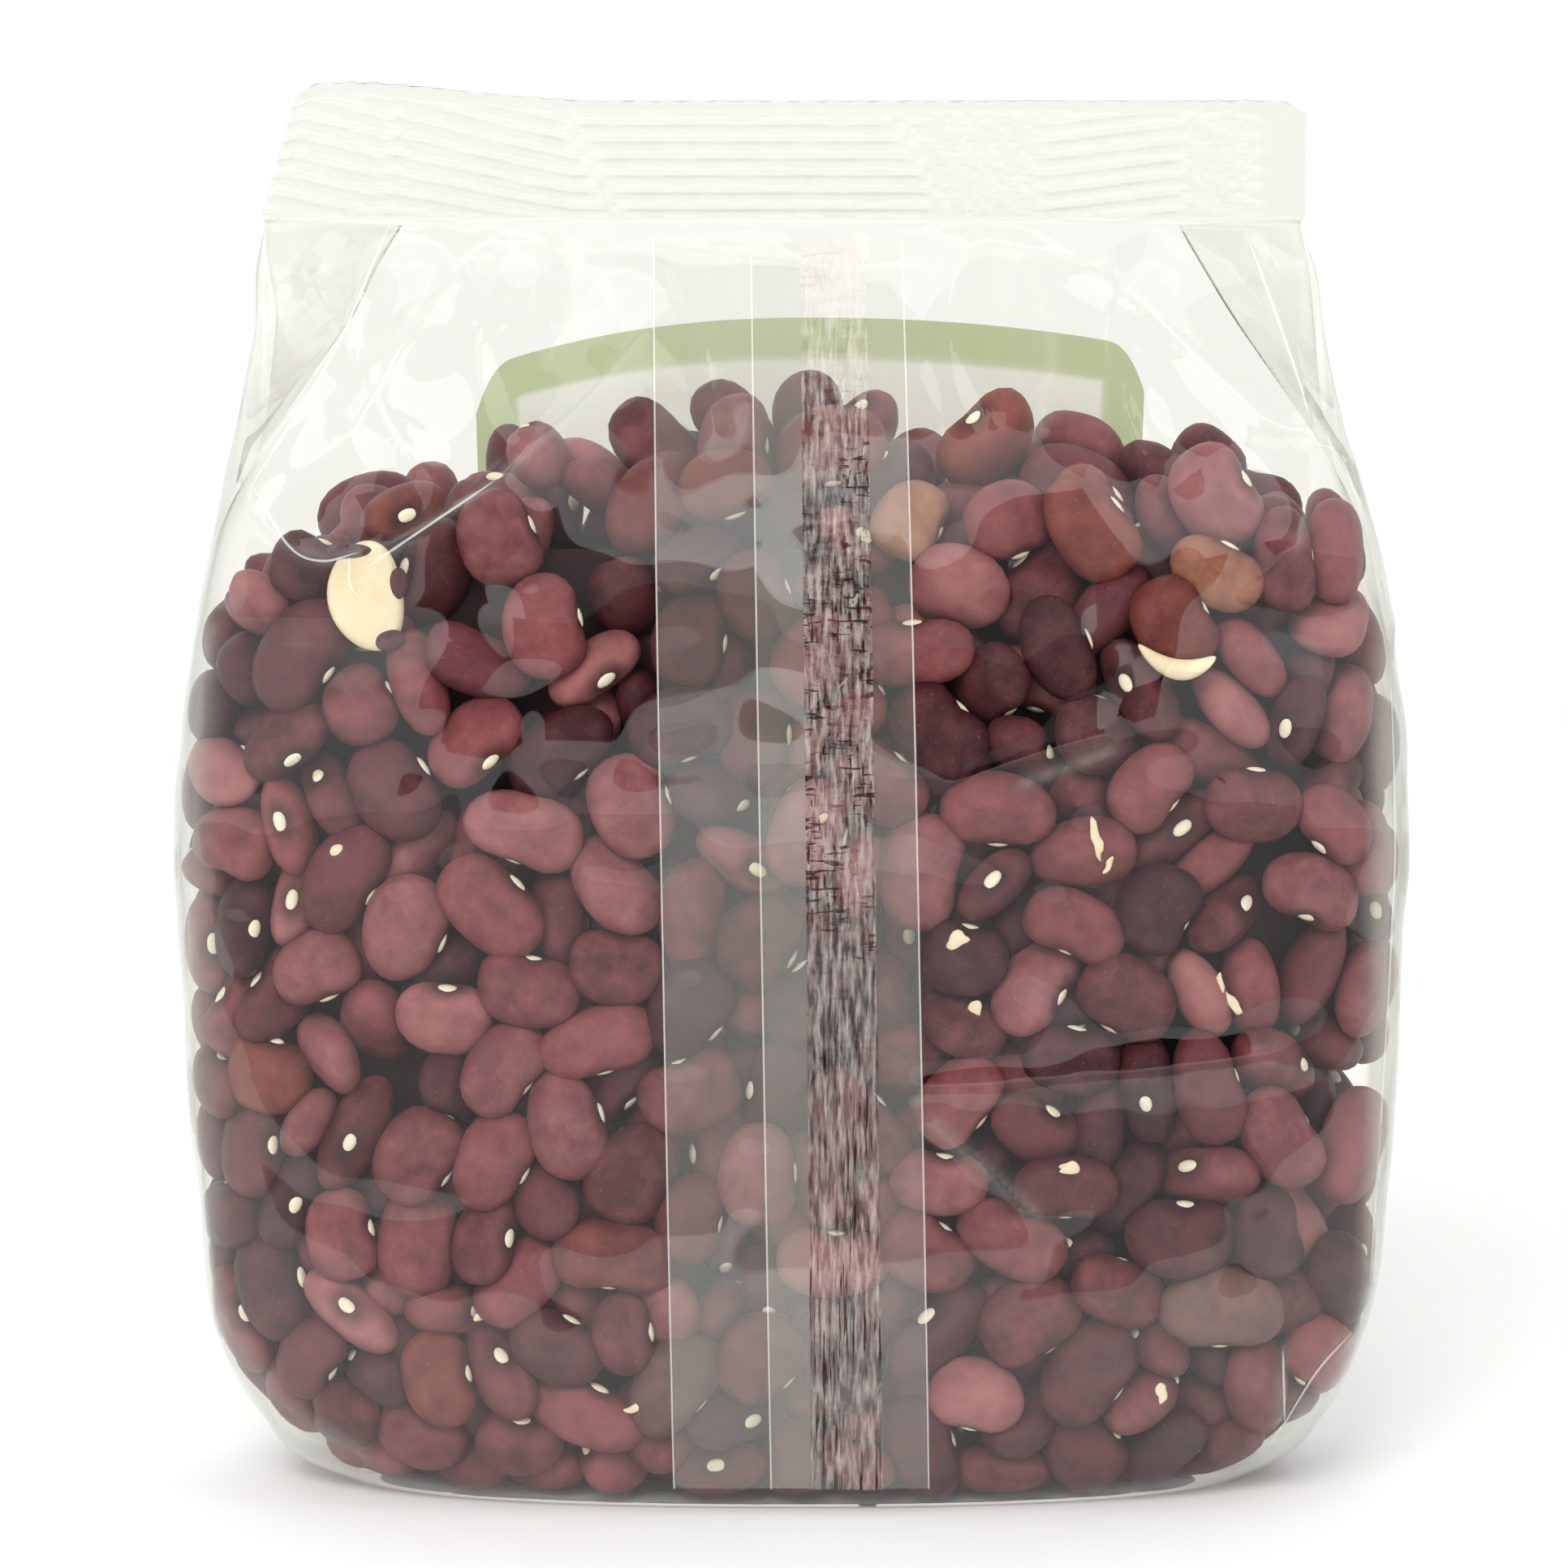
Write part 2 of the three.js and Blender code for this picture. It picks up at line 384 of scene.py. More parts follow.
def pack_beans():
    """Grows the beans in the pouch, pushing apart what overlaps, until they fill it."""
    rng = np.random.default_rng(11)
    centres, turns = scatter(rng)
    place_odd_beans(centres, turns)
    free = np.ones((BEAN_COUNT, 1))
    free[:len(ODD_BEANS)] = 0
    size = np.clip(rng.normal(1, 0.07, BEAN_COUNT), 0.84, 1.15)
    stretch = np.exp(rng.normal(0, 0.07, BEAN_COUNT))
    scale = np.stack([size * stretch, size / np.sqrt(stretch), size], axis=1)
    up = np.array([0.0, 0.0, 1.0])
    for step in range(PACKING_STEPS):
        swell = min(1.0, 0.55 + 0.45 * step / (0.5 * PACKING_STEPS))
        if step % 6 == 0:
            apart = centres[:, None] - centres[None]
            near = np.einsum("ijk,ijk->ij", apart, apart) < (14 * swell + 1.5) ** 2
            pairs = np.nonzero(np.triu(near, 1))
        arms = np.einsum("nij,nbj->nbi", matrices(turns), BALLS[None] * scale[:, None] * swell)
        radii = BALL_RADII[None] * size[:, None] * swell
        balls = (centres[:, None] + arms).reshape(-1, 3)
        gap, inward = wall_gap(balls)
        ups = np.tile(up, (len(balls), 1))
        pushes = pushes_between(centres, arms, radii, pairs, swell)
        pushes.append(pushes_from(gap, inward, arms, radii, swell))
        pushes.append(pushes_from(balls[:, 2] - FLOOR_GAP, ups, arms, radii, swell))
        pushes.append(pushes_from(heap_top(balls[:, 0]) - balls[:, 2], -ups, arms, radii, swell))
        who = np.concatenate([p[0] for p in pushes])
        calm = 1.3 / np.maximum(np.bincount(who, minlength=BEAN_COUNT), 1) ** 0.6
        moved = []
        for part in (1, 2):
            values = np.concatenate([p[part] for p in pushes])
            total = np.stack([np.bincount(who, values[:, k], BEAN_COUNT) for k in range(3)], axis=1)
            moved.append(total * calm[:, None])
        slide, turn = moved
        slide -= up * (SINKING if step < 0.85 * PACKING_STEPS else 0)
        slide *= free * np.minimum(1, 1.0 / np.maximum(np.linalg.norm(slide, axis=1), 1e-9))[:, None]
        turn *= free * np.minimum(1, 0.2 / np.maximum(np.linalg.norm(turn, axis=1), 1e-9))[:, None]
        centres = centres + slide
        turns = unit(turns + 0.5 * multiply(np.concatenate([0 * turn[:, :1], turn], axis=1), turns))
    return centres, turns, scale, rng


def ball_of_quads(cuts):
    """Points on a unit sphere and the quads between them, from a cube cut cuts times along each edge."""
    ticks = np.tan(np.linspace(-math.pi / 4, math.pi / 4, cuts + 1))
    u, v = np.meshgrid(ticks, ticks, indexing="ij")
    points = []
    faces = []
    for axis in range(3):
        for sign in (-1, 1):
            side = np.empty((cuts + 1, cuts + 1, 3))
            side[..., axis] = sign
            side[..., (axis + 1) % 3] = u
            side[..., (axis + 2) % 3] = v
            quads = grid_faces(cuts + 1, cuts + 1) + len(points) * (cuts + 1) ** 2
            faces.append(quads if sign < 0 else quads[:, ::-1])
            points.append(side.reshape(-1, 3))
    points = unit(np.concatenate(points))
    faces = np.concatenate(faces)
    _, keep, merged = np.unique(np.round(points, 5), axis=0, return_index=True, return_inverse=True)
    return points[keep], merged.ravel()[faces]


def bean_shapes(directions, scale, rng):
    """Kidney-oval beans in their own frames: long along X, the scar on the -Y edge, flat along Z."""
    count = len(scale)
    plump = rng.uniform(2.05, 2.7, (count, 1))
    norm = (np.abs(directions[None]) ** plump[..., None]).sum(axis=2) ** (-1 / plump)
    # each bean is pressed a little out of shape by its pod
    waves = rng.normal(size=(5, 3)) * 1.7
    phases = rng.uniform(0, 2 * math.pi, (count, 1, 5))
    lumps = np.cos((directions @ waves.T)[None] + phases).sum(axis=2)
    shape = directions[None] * (norm * (1 + 0.016 * lumps))[..., None]
    x, y, z = shape[..., 0], shape[..., 1], shape[..., 2]
    taper = rng.uniform(-0.12, 0.12, (count, 1))
    bend = rng.uniform(0.02, 0.12, (count, 1))
    dent = rng.uniform(0.04, 0.2, (count, 1))
    scar_side = np.clip(-y, 0, 1)
    y = y * (1 + taper * x) * (1 - dent * scar_side * np.exp(-((x / 0.34) ** 2))) - bend * x * x
    z = z * (1 - 0.5 * taper * x) * (1 + 0.05 * y)
    half = np.array([BEAN_LENGTH, BEAN_WIDTH, BEAN_THICKNESS]) / 2
    return np.stack([x, y + 0.4 * bend, z], axis=2) * half * scale[:, None]


def in_place(shapes, centres, turns):
    return np.einsum("nij,nvj->nvi", matrices(turns), shapes) + centres[:, None]


def join(points, faces):
    """Many copies of one mesh as one list of points and faces."""
    count, size = points.shape[:2]
    shifts = size * np.arange(count)[:, None, None]
    return points.reshape(-1, 3), (faces[None] + shifts).reshape(-1, faces.shape[1])


# Each kind of coat: its colours from dark to pale, and its share of the beans
COATS = {
    "wine": ("#4A1C22", "#87494C", 0.40),
    "maroon": ("#38141B", "#68343B", 0.375),
    "pink": ("#6C373D", "#9C6263", 0.18),
    "russet": ("#582426", "#87483D", 0.028),
    "grey": ("#4B3231", "#75554F", 0.012),
    "tan": ("#7A4434", "#A87A5F", 0.005),
}


def bean_coat(kind):
    """Seed coat of a dried bean: thin, hard and faintly waxy, so it has a broad soft sheen."""
    dark, pale, _ = COATS[kind]
    material, tree = new_material("seed_coat_" + kind)
    at = add(tree, "Attribute", attribute_name="bean_at").outputs["Vector"]
    tone = add(tree, "Attribute", attribute_name="tone").outputs["Fac"]
    ring = add(tree, "Attribute", attribute_name="ring").outputs["Fac"]
    # Clouds 3 mm across, and specks of 0.4 mm, drawn coarser than the real 0.1 mm so that they show
    clouds = add(tree, "TexNoise", {"Vector": at, "Scale": 0.33, "Detail": 3.0, "Roughness": 0.6})
    specks = add(tree, "TexNoise", {"Vector": at, "Scale": 2.6, "Detail": 2.0, "Roughness": 0.7})
    cloudy = add(tree, "MapRange", {"Value": clouds.outputs["Fac"], 1: 0.32, 2: 0.7, 3: -0.25, 4: 0.4})
    level = add(tree, "Math", {0: tone, 1: cloudy.outputs[0]}, operation="ADD", use_clamp=True)
    coat = mix_colours(tree, level.outputs[0], colour(dark), colour(pale))
    speck = add(tree, "MapRange", {"Value": specks.outputs["Fac"], 1: 0.64, 2: 0.8, 3: 0.0, 4: 0.3})
    coat = mix_colours(tree, speck.outputs[0], coat, colour("#C79A90"))
    pit = add(tree, "MapRange", {"Value": specks.outputs["Fac"], 1: 0.38, 2: 0.22, 3: 0.0, 4: 0.35})
    coat = mix_colours(tree, pit.outputs[0], coat, colour(dark))
    dark_ring = add(tree, "Math", {0: ring, 1: 0.85}, operation="MULTIPLY")
    coat = mix_colours(tree, dark_ring.outputs[0], coat, colour("#24090E"))
    bump = add(tree, "Bump", {"Strength": 0.12, "Distance": 0.0001, "Height": specks.outputs["Fac"]})
    shader = add(tree, "BsdfPrincipled", {
        "Base Color": coat,
        "Roughness": 0.48,
        "IOR": 1.45,
        "Specular IOR Level": 0.42,
        "Normal": bump.outputs[0],
    })
    add(tree, "OutputMaterial", {"Surface": shader.outputs[0]})
    return material


def scar_skin():
    """The scar on a bean's edge: dry, chalky and off-white."""
    material, tree = new_material("bean_scar_chalky")
    place = add(tree, "TexCoord").outputs["Object"]
    grain = add(tree, "TexNoise", {"Vector": place, "Scale": 1 / (0.35 * MM), "Detail": 2.0})
    tint = mix_colours(tree, grain.outputs["Fac"], colour("#D9CDB0"), colour("#F3ECD8"))
    bump = add(tree, "Bump", {"Strength": 0.3, "Distance": 0.0001, "Height": grain.outputs["Fac"]})
    shader = add(tree, "BsdfPrincipled", {"Base Color": tint, "Roughness": 0.65, "Normal": bump.outputs[0]})
    add(tree, "OutputMaterial", {"Surface": shader.outputs[0]})
    return material


def split_flesh():
    """The inside of a bean: smooth, dense and cream, a little waxy."""
    material, tree = new_material("bean_flesh_cream")
    place = add(tree, "TexCoord").outputs["Object"]
    clouds = add(tree, "TexNoise", {"Vector": place, "Scale": 1 / (3 * MM), "Detail": 3.0})
    tint = mix_colours(tree, clouds.outputs["Fac"], colour("#D9C49A"), colour("#EDE1C4"))
    bump = add(tree, "Bump", {"Strength": 0.3, "Distance": 0.0002, "Height": clouds.outputs["Fac"]})
    shader = add(tree, "BsdfPrincipled", {"Base Color": tint, "Roughness": 0.5, "Normal": bump.outputs[0]})
    add(tree, "OutputMaterial", {"Surface": shader.outputs[0]})
    return material


def core_painted_shade():
    """What shows between the beans, deep in the bag, where almost no light reaches: painted shade, drawn
    near-black.
    """
    material, tree = new_material("deep_beans_painted_shade")
    place = add(tree, "TexCoord").outputs["Object"]
    lumps = add(tree, "TexVoronoi", {"Vector": place, "Scale": 1 / (9 * MM)})
    # painted shade: near-black maroon in place of the shadowed beans
    tint = mix_colours(tree, lumps.outputs["Distance"], colour("#3A171B"), colour("#16090B"))
    shader = add(tree, "BsdfPrincipled", {"Base Color": tint, "Roughness": 0.7})
    add(tree, "OutputMaterial", {"Surface": shader.outputs[0]})
    return material


def make_beans():
    """All the beans near the film, one piece for each kind, with their scars.

    Returns where they touch the film, and the beans as a tree that can be asked what lies under it.
    """
    centres, turns, scale, rng = pack_beans()
    kinds = rng.choice(list(COATS), BEAN_COUNT, p=[share for _, _, share in COATS.values()])
    for i, (kind, *_) in enumerate(ODD_BEANS):
        kinds[i] = kind
    tones = rng.uniform(0.0, 0.85, BEAN_COUNT)
    directions, faces = ball_of_quads(6)
    shapes = bean_shapes(directions, scale, rng)
    gap, inward = wall_gap(centres)
    on_top = centres[:, 2] > heap_top(centres[:, 0]) - SHOWN_DEPTH - 6
    at_base = centres[:, 2] < SHOWN_DEPTH
    shown = (gap < SHOWN_DEPTH) | on_top | at_base
    half_width = BEAN_WIDTH / 2 * scale[:, 1]
    scar_at = np.stack([0 * half_width, -0.93 * half_width, 0 * half_width], axis=1)
    away = (shapes - scar_at[:, None]) / np.array([2.2, 1.6, 1.6])
    rings = np.clip(1.6 - 1.1 * np.linalg.norm(away, axis=2), 0, 1)
    placed = in_place(shapes, centres, turns)
    # a bean that would press through the film is moved back in
    clearance = wall_gap(placed.reshape(-1, 3))[0].reshape(BEAN_COUNT, -1)
    outside = np.clip(0.1 - clearance.min(axis=1), 0, 1.5)
    centres = centres + inward * outside[:, None]
    placed = placed + (inward * outside[:, None])[:, None]
    for kind in COATS:
        mine = shown & (kinds == kind)
        points, quads = join(placed[mine], faces)
        piece = make_mesh("beans_" + kind, points, quads, bean_coat(kind))
        offsets = rng.uniform(-500, 500, (mine.sum(), 1, 3))
        set_attribute(piece, "bean_at", "FLOAT_VECTOR", shapes[mine] + offsets)
        set_attribute(piece, "tone", "FLOAT", np.repeat(tones[mine], len(directions)))
        set_attribute(piece, "ring", "FLOAT", rings[mine])
        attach(piece, "root")
    keep = shown & (kinds != "split")
    make_scars(centres[keep], turns[keep], shapes[keep], directions)
    make_split_bean(centres[0], turns[0])
    make_chips(placed[keep].reshape(-1, 3))
    make_sliver()
    clearance = wall_gap(placed[keep].reshape(-1, 3))[0].reshape(keep.sum(), -1)
    nearest = clearance.argmin(axis=1)
    rows = np.arange(len(nearest))
    touching = clearance[rows, nearest] < 0.9
    points, quads = join(placed[shown], faces)
    return placed[keep][rows, nearest][touching], BVHTree.FromPolygons(points.tolist(), quads.tolist())


def make_scars(centres, turns, shapes, directions):
    """A small raised white oval on the edge of each bean."""
    rounds, faces = ball_of_quads(3)
    ovals = rounds[None] * np.array([1.3, 0.45, 0.72])
    edge = directions[:, 1].argmin()
    ovals = ovals + (shapes[:, edge] + np.array([0, 0.1, 0]))[:, None]
    points, quads = join(in_place(ovals, centres, turns), faces)
    piece = make_mesh("bean_scars", points, quads, scar_skin())
    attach(piece, "root")


# Shreds of skin on the split bean: letter, place across and up from its middle, half width and half height
SKIN_SHREDS = (
    ("a", 3.6, 1.6, 0.9, 1.7),
    ("b", 2.6, -4.4, 1.5, 1.1),
    ("c", -1.6, 5.0, 2.2, 0.7),
)


def make_split_bean(centre, turn):
    """One half of a split bean, its flat cream face to the film, with shreds of skin on its edge."""
    rounds, faces = ball_of_quads(10)
    half = np.array([6.0, 4.1, 1.5])
    shape = rounds * half
    flat = np.clip(shape[:, 2], None, 0.75)
    shape[:, 2] = flat + 0.12 * soft_noise(rounds, 0.9, 5)
    shape[:, 1] -= 0.9 * (shape[:, 0] / 6.3) ** 2
    points = shape @ matrices(turn[None])[0].T + centre + np.array([0, -1.9, 0])
    piece = make_mesh("split_bean_half", points, faces, split_flesh())
    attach(piece, "root")
    coat = bpy.data.materials["seed_coat_maroon"]
    for i, (letter, x, z, wide, high) in enumerate(SKIN_SHREDS):
        ragged = 1 + 0.25 * soft_noise(rounds, 1.3, 31 + i)
        shred = rounds * np.array([wide, 0.45, high]) * ragged[:, None]
        shred = shred + centre + np.array([x, -2.55, z])
        piece = make_mesh("skin_shred_" + letter, shred, faces, coat)
        set_attribute(piece, "bean_at", "FLOAT_VECTOR", shred)
        set_attribute(piece, "tone", "FLOAT", np.full(len(shred), 0.3))
        set_attribute(piece, "ring", "FLOAT", np.zeros(len(shred)))
        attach(piece, "root")


# Where the coat is chipped or cracked: place across and up, half length, half width, lean in degrees
CHIPS = (
    (18.0, 63.5, 1.3, 0.9, 30),
    (20.0, 56.5, 1.3, 0.8, 60),
    (30.0, 39.0, 1.3, 0.9, 10),
    (40.5, 13.5, 1.2, 0.7, 80),
    (33.0, 75.0, 2.3, 0.45, 105),
    (34.0, 72.5, 1.3, 0.4, 60),
    (47.5, 57.0, 2.0, 0.5, 135),
    (46.5, 59.0, 1.2, 0.35, 100),
    (-17.5, 12.5, 1.2, 0.4, 10),
    (-34.5, 21.5, 0.6, 0.5, 0),
    (-49.5, 73.5, 0.7, 0.6, 0),
    (3.0, 78.0, 0.7, 0.4, 20),
)


def make_chips(bean_points):
    """Chips and cracks in the coats, which show the cream inside, on the beans nearest those places."""
    rounds, faces = ball_of_quads(5)
    chips = []
    for i, (x, z, long, wide, lean) in enumerate(CHIPS):
        away = np.hypot(bean_points[:, 0] - x, bean_points[:, 2] - z) + 0.4 * bean_points[:, 1]
        at = bean_points[away.argmin()]
        turn = math.radians(lean)
        ragged = 1 + 0.3 * soft_noise(rounds * 2.0, 1.5, 60 + i)
        along = rounds[:, 0] * long * ragged
        across = rounds[:, 1] * wide * ragged + 0.12 * np.sin(2.6 * along)
        chips.append(np.stack([
            at[0] + along * math.cos(turn) - across * math.sin(turn),
            at[1] + 0.22 * rounds[:, 2],
            at[2] + along * math.sin(turn) + across * math.cos(turn),
        ], axis=1))
    points, quads = join(np.array(chips), faces)
    piece = make_mesh("coat_chips", points, quads, split_flesh())
    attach(piece, "root")


def make_sliver():
    """A loose curved sliver of a split bean, lying against the film."""
    rounds, faces = ball_of_quads(8)
    across, up = 41.1, 93.4
    wall = panel_point(np.array([across]), np.array([up]), BACK)[0]
    sliver = rounds * np.array([4.2, 0.8, 1.15])
    sliver[:, 2] += 0.11 * sliver[:, 0] ** 2 - 0.16 * sliver[:, 0] - 0.5
    sliver += np.array([across, wall[1] + 1.1, up])
    piece = make_mesh("bean_sliver", sliver, faces, split_flesh())
    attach(piece, "root")


def make_core():
    """The beans too deep to be seen, as one body in painted shade."""
    levels = np.linspace(9, 105, 24)
    columns = 48
    angles = np.linspace(0, 2 * math.pi, columns, endpoint=False)
    rings = []
    for z in levels:
        ring = wall_point(angles, np.full(columns, z))
        half_width, half_depth, _ = bean_room(np.array([z]))
        ring[:, 0] *= (half_width[0] - 10) / half_width[0]
        ring[:, 1] *= max(half_depth[0] - 9.5, 2) / half_depth[0]
        ring[:, 2] = np.minimum(z, heap_top(ring[:, 0]) - 18)
        rings.append(ring)
    faces = grid_faces(len(levels), columns, closed=True)
    piece = make_mesh("deep_beans", np.concatenate(rings), faces, core_painted_shade())
    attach(piece, "root")


# ---------------------------------------------------------------- the film

SAG = 0.6  # how far the film dips between the beans
BUMP_REACH = 3.0  # how far round each bean the film is held up
SOFT_FOLD = 3.0  # a crease with more spread than this is a soft fold, and stays clear

# Creases in the back panel: (places across and up), height and spread. A negative height folds inwards.
BACK_CREASES = (
    # left shoulder, where the gusset is folded in
    (
        ((-44.0, 140.0), (-49.5, 126.5), (-58.0, 112.5), (-54.0, 106.0), (-50.5, 104.5), (-46.5, 105.5)),
        1.0, 2.0,
    ),
    (((-15.5, 129.5), (-22.5, 121.5), (-32.0, 113.0), (-38.0, 109.0), (-45.5, 104.0)), 0.8, 2.2),
    (((-33.5, 138.5), (-42.0, 127.5), (-47.5, 117.5)), 0.7, 1.8),
    (((-55.5, 138.0), (-58.0, 126.0), (-58.5, 113.0)), 0.6, 1.6),
    # right shoulder
    (((13.5, 140.0), (31.0, 135.5), (37.0, 132.5), (50.5, 119.5), (59.0, 115.0), (66.0, 97.0)), 0.9, 2.0),
    (((46.5, 141.0), (49.5, 138.5), (54.0, 125.0), (55.5, 119.5)), 0.8, 1.8),
    (((55.0, 118.0), (55.5, 111.0), (54.0, 106.0)), 0.5, 1.4),
    # the film drawn in below the seal
    (((-31.5, 137.5), (-15.5, 137.5), (1.0, 135.5)), 0.8, 1.6),
    (((-26.0, 139.0), (-24.0, 132.0), (-27.0, 126.0)), -0.6, 1.6),
    (((24.0, 138.5), (28.0, 128.0), (26.0, 118.0)), 0.4, 2.0),
    # broad folds in the empty film
    (((-52.0, 134.0), (-46.0, 123.0), (-40.0, 115.0)), -1.0, 3.2),
    (((-39.0, 139.0), (-33.0, 129.0), (-29.0, 118.0)), 1.1, 3.2),
    (((-20.0, 138.5), (-11.0, 129.0), (-8.5, 118.0)), -0.9, 3.2),
    (((21.0, 139.0), (17.0, 131.0), (21.0, 120.0)), 1.0, 3.2),
    (((39.0, 139.0), (33.5, 129.0), (37.0, 117.0)), -1.0, 3.2),
    # wrinkles to the right of the seam and at the foot
    (((13.5, 48.0), (30.0, 49.0), (51.0, 51.0)), 1.0, 3.6),
    (((17.0, 81.0), (23.5, 83.5), (33.0, 86.5)), 1.0, 3.6),
    (((24.5, 81.0), (34.0, 84.5)), 0.4, 1.2),
    (((15.0, 44.5), (26.5, 34.0)), 0.4, 1.2),
    (((53.5, 18.0), (54.0, 9.5)), 0.5, 1.2),
    (((61.5, 19.0), (57.5, 15.0), (54.0, 9.0), (52.5, 6.0)), 0.6, 1.2),
    (((-62.0, 21.0), (-56.0, 12.0), (-47.0, 6.0)), 0.6, 1.3),
    # the corners between the back panel and the gussets
    (((65.0, 96.0), (65.5, 70.0), (64.5, 45.0), (63.5, 24.0)), 0.5, 1.0),
    (((-63.0, 96.0), (-65.0, 80.0), (-65.5, 50.0), (-64.0, 24.0)), 0.5, 1.0),
)

# Hard folds, where the film is stretched white along a thin line and a painted highlight is drawn along it
HARD_FOLDS = (
    ((-44.0, 140.0), (-49.5, 126.5), (-58.0, 112.5)),
    ((-58.0, 112.5), (-54.0, 106.0), (-50.5, 104.5), (-46.5, 105.5)),
    ((-32.0, 113.0), (-38.0, 109.0), (-45.5, 104.0)),
    ((-42.0, 127.5), (-47.5, 117.5)),
    ((37.0, 132.5), (44.0, 125.5), (50.5, 119.5)),
    ((56.0, 117.0), (59.0, 115.0), (62.5, 106.0), (66.0, 97.0)),
    ((49.5, 138.5), (54.0, 125.0), (55.5, 119.5)),
    ((-47.5, 105.0), (-47.5, 102.0), (-46.5, 100.5)),
    ((61.5, 19.0), (57.5, 15.0), (54.0, 9.0), (52.5, 6.0)),
    ((53.5, 18.0), (54.0, 9.5)),
    ((65.0, 92.0), (65.5, 70.0), (64.5, 45.0), (63.5, 24.0)),
)


def smooth_route(places, step=0.6):
    """A smooth line through some places, as points about a step apart."""
    places = np.asarray(places, dtype=float)
    ends = np.concatenate([2 * places[:1] - places[1:2], places, 2 * places[-1:] - places[-2:-1]])
    line = []
    for before, start, end, after in zip(ends, ends[1:], ends[2:], ends[3:]):
        t = np.linspace(0, 1, max(int(np.linalg.norm(end - start) / step), 1), endpoint=False)[:, None]
        line.append(0.5 * (
            2 * start + (end - before) * t
            + (2 * before - 5 * start + 4 * end - after) * t ** 2
            + (3 * start - before - 3 * end + after) * t ** 3
        ))
    return np.concatenate(line + [places[-1:]])


def distance_to(points, route):
    """How far each point is from a route of straight runs."""
    nearest = np.full(len(points), 1e9)
    for start, end in zip(route[:-1], route[1:]):
        along = end - start
        t = np.clip(((points - start) @ along) / (along @ along), 0, 1)
        nearest = np.minimum(nearest, np.linalg.norm(points - start - t[:, None] * along, axis=1))
    return nearest


def held_up(points, contacts):
    """How much the film at each point is held up by the beans that touch it, from 0 to 1."""
    held = np.zeros(len(points))
    for start in range(0, len(points), 20000):
        block = points[start:start + 20000]
        squares = (block ** 2).sum(axis=1)[:, None] + (contacts ** 2).sum(axis=1)[None]
        squares = squares - 2 * block @ contacts.T
        held[start:start + 20000] = np.exp(-squares / (2 * BUMP_REACH ** 2)).sum(axis=1)
    return 1 - np.exp(-1.5 * held)


def bean_tops(points, bean_tree):
    """How far the bean under each point stands out from the smooth pouch, or far below zero for none."""
    reach = 3.0
    tops = np.full(len(points), -9.0)
    over_beans = np.nonzero(points[:, 2] < heap_top(points[:, 0]) + 6)[0]
    inward = wall_gap(points[over_beans])[1]
    starts = points[over_beans] - reach * inward
    for i, start, way in zip(over_beans, starts.tolist(), inward.tolist()):
        hit = bean_tree.ray_cast(start, way, 5.0)
        if hit[0] is not None:
            tops[i] = reach - hit[3]
    return tops


def film_relief(points, beans):
    """How far the film stands out from the smooth pouch, at points on it."""
    contacts, bean_tree = beans
    x, y, z = points.T
    filled = 1 - smoothstep(-6, 4, z - heap_top(x))
    relief = -SAG * filled * (1 - held_up(points, contacts))
    relief += 0.35 * soft_noise(points, 16, 3) + 0.06 * soft_noise(points, 6, 4)
    relief += 0.5 * (1 - filled) * soft_noise(points, 30, 8)
    relief += 0.1 * (1 - filled) * soft_noise(points * np.array([1, 1, 0.25]), 4, 31)
    back = np.nonzero((y < 0) & (z < SEAL_FOOT - 1))[0]
    across = points[back][:, [0, 2]]
    for places, height, spread in BACK_CREASES:
        route = smooth_route(places, 2.0)
        low, high = route.min(axis=0) - 6 * spread, route.max(axis=0) + 6 * spread
        near = np.nonzero(np.all((across > low) & (across < high), axis=1))[0]
        relief[back[near]] += height * np.exp(-distance_to(across[near], route) / spread)
    ease = smoothstep(0, 6, z) * (1 - smoothstep(SEAL_FOOT - 6, SEAL_FOOT, z))
    return np.maximum(relief * ease, bean_tops(points, bean_tree) + 0.08)


RIB_PITCH = 1.84
RIB_DEPTH = 0.3
TOOTH_PITCH = 3.0


def rib_height(x, z):
    """The marks of the heated jaws across the seal, in and out of its plane."""
    left = np.where(x < -43.5, -0.2 * (x + 43.5) + 0.9, np.where(x < -24, -0.17 * (x + 24), 0))
    tilt = left + 0.12 * np.clip(x - 28, 0, None)
    wave = np.tanh(2.2 * np.sin(2 * math.pi * (z - SEAL_FOOT - tilt) / RIB_PITCH))
    dimples = np.clip(wave * np.sin(2 * math.pi * (x + 0.5 * z) / 2.3), 0, 1)
    doubled = smoothstep(14, 16, x) * (1 - smoothstep(26, 28, x))
    doubled = doubled + smoothstep(42, 43, x) * (1 - smoothstep(48, 50, x))
    wave = wave * (1 - doubled) + dimples * doubled
    ribbed = smoothstep(SEAL_FOOT, SEAL_FOOT + 0.6, z) * (1 - smoothstep(HEIGHT - 2.0, HEIGHT - 1.4, z))
    ribbed = ribbed * (1 - smoothstep(49, 50.5, x)) * (0.75 + 0.25 * np.sin(0.9 * x) * np.sin(0.37 * x + z))
    for top, foot in ((-26, -19), (10, 18)):
        fold = top + (foot - top) * (HEIGHT - z) / SEAL_HEIGHT
        ribbed = ribbed * smoothstep(0.6, 1.4, np.abs(x - fold))
    return RIB_DEPTH * wave * ribbed


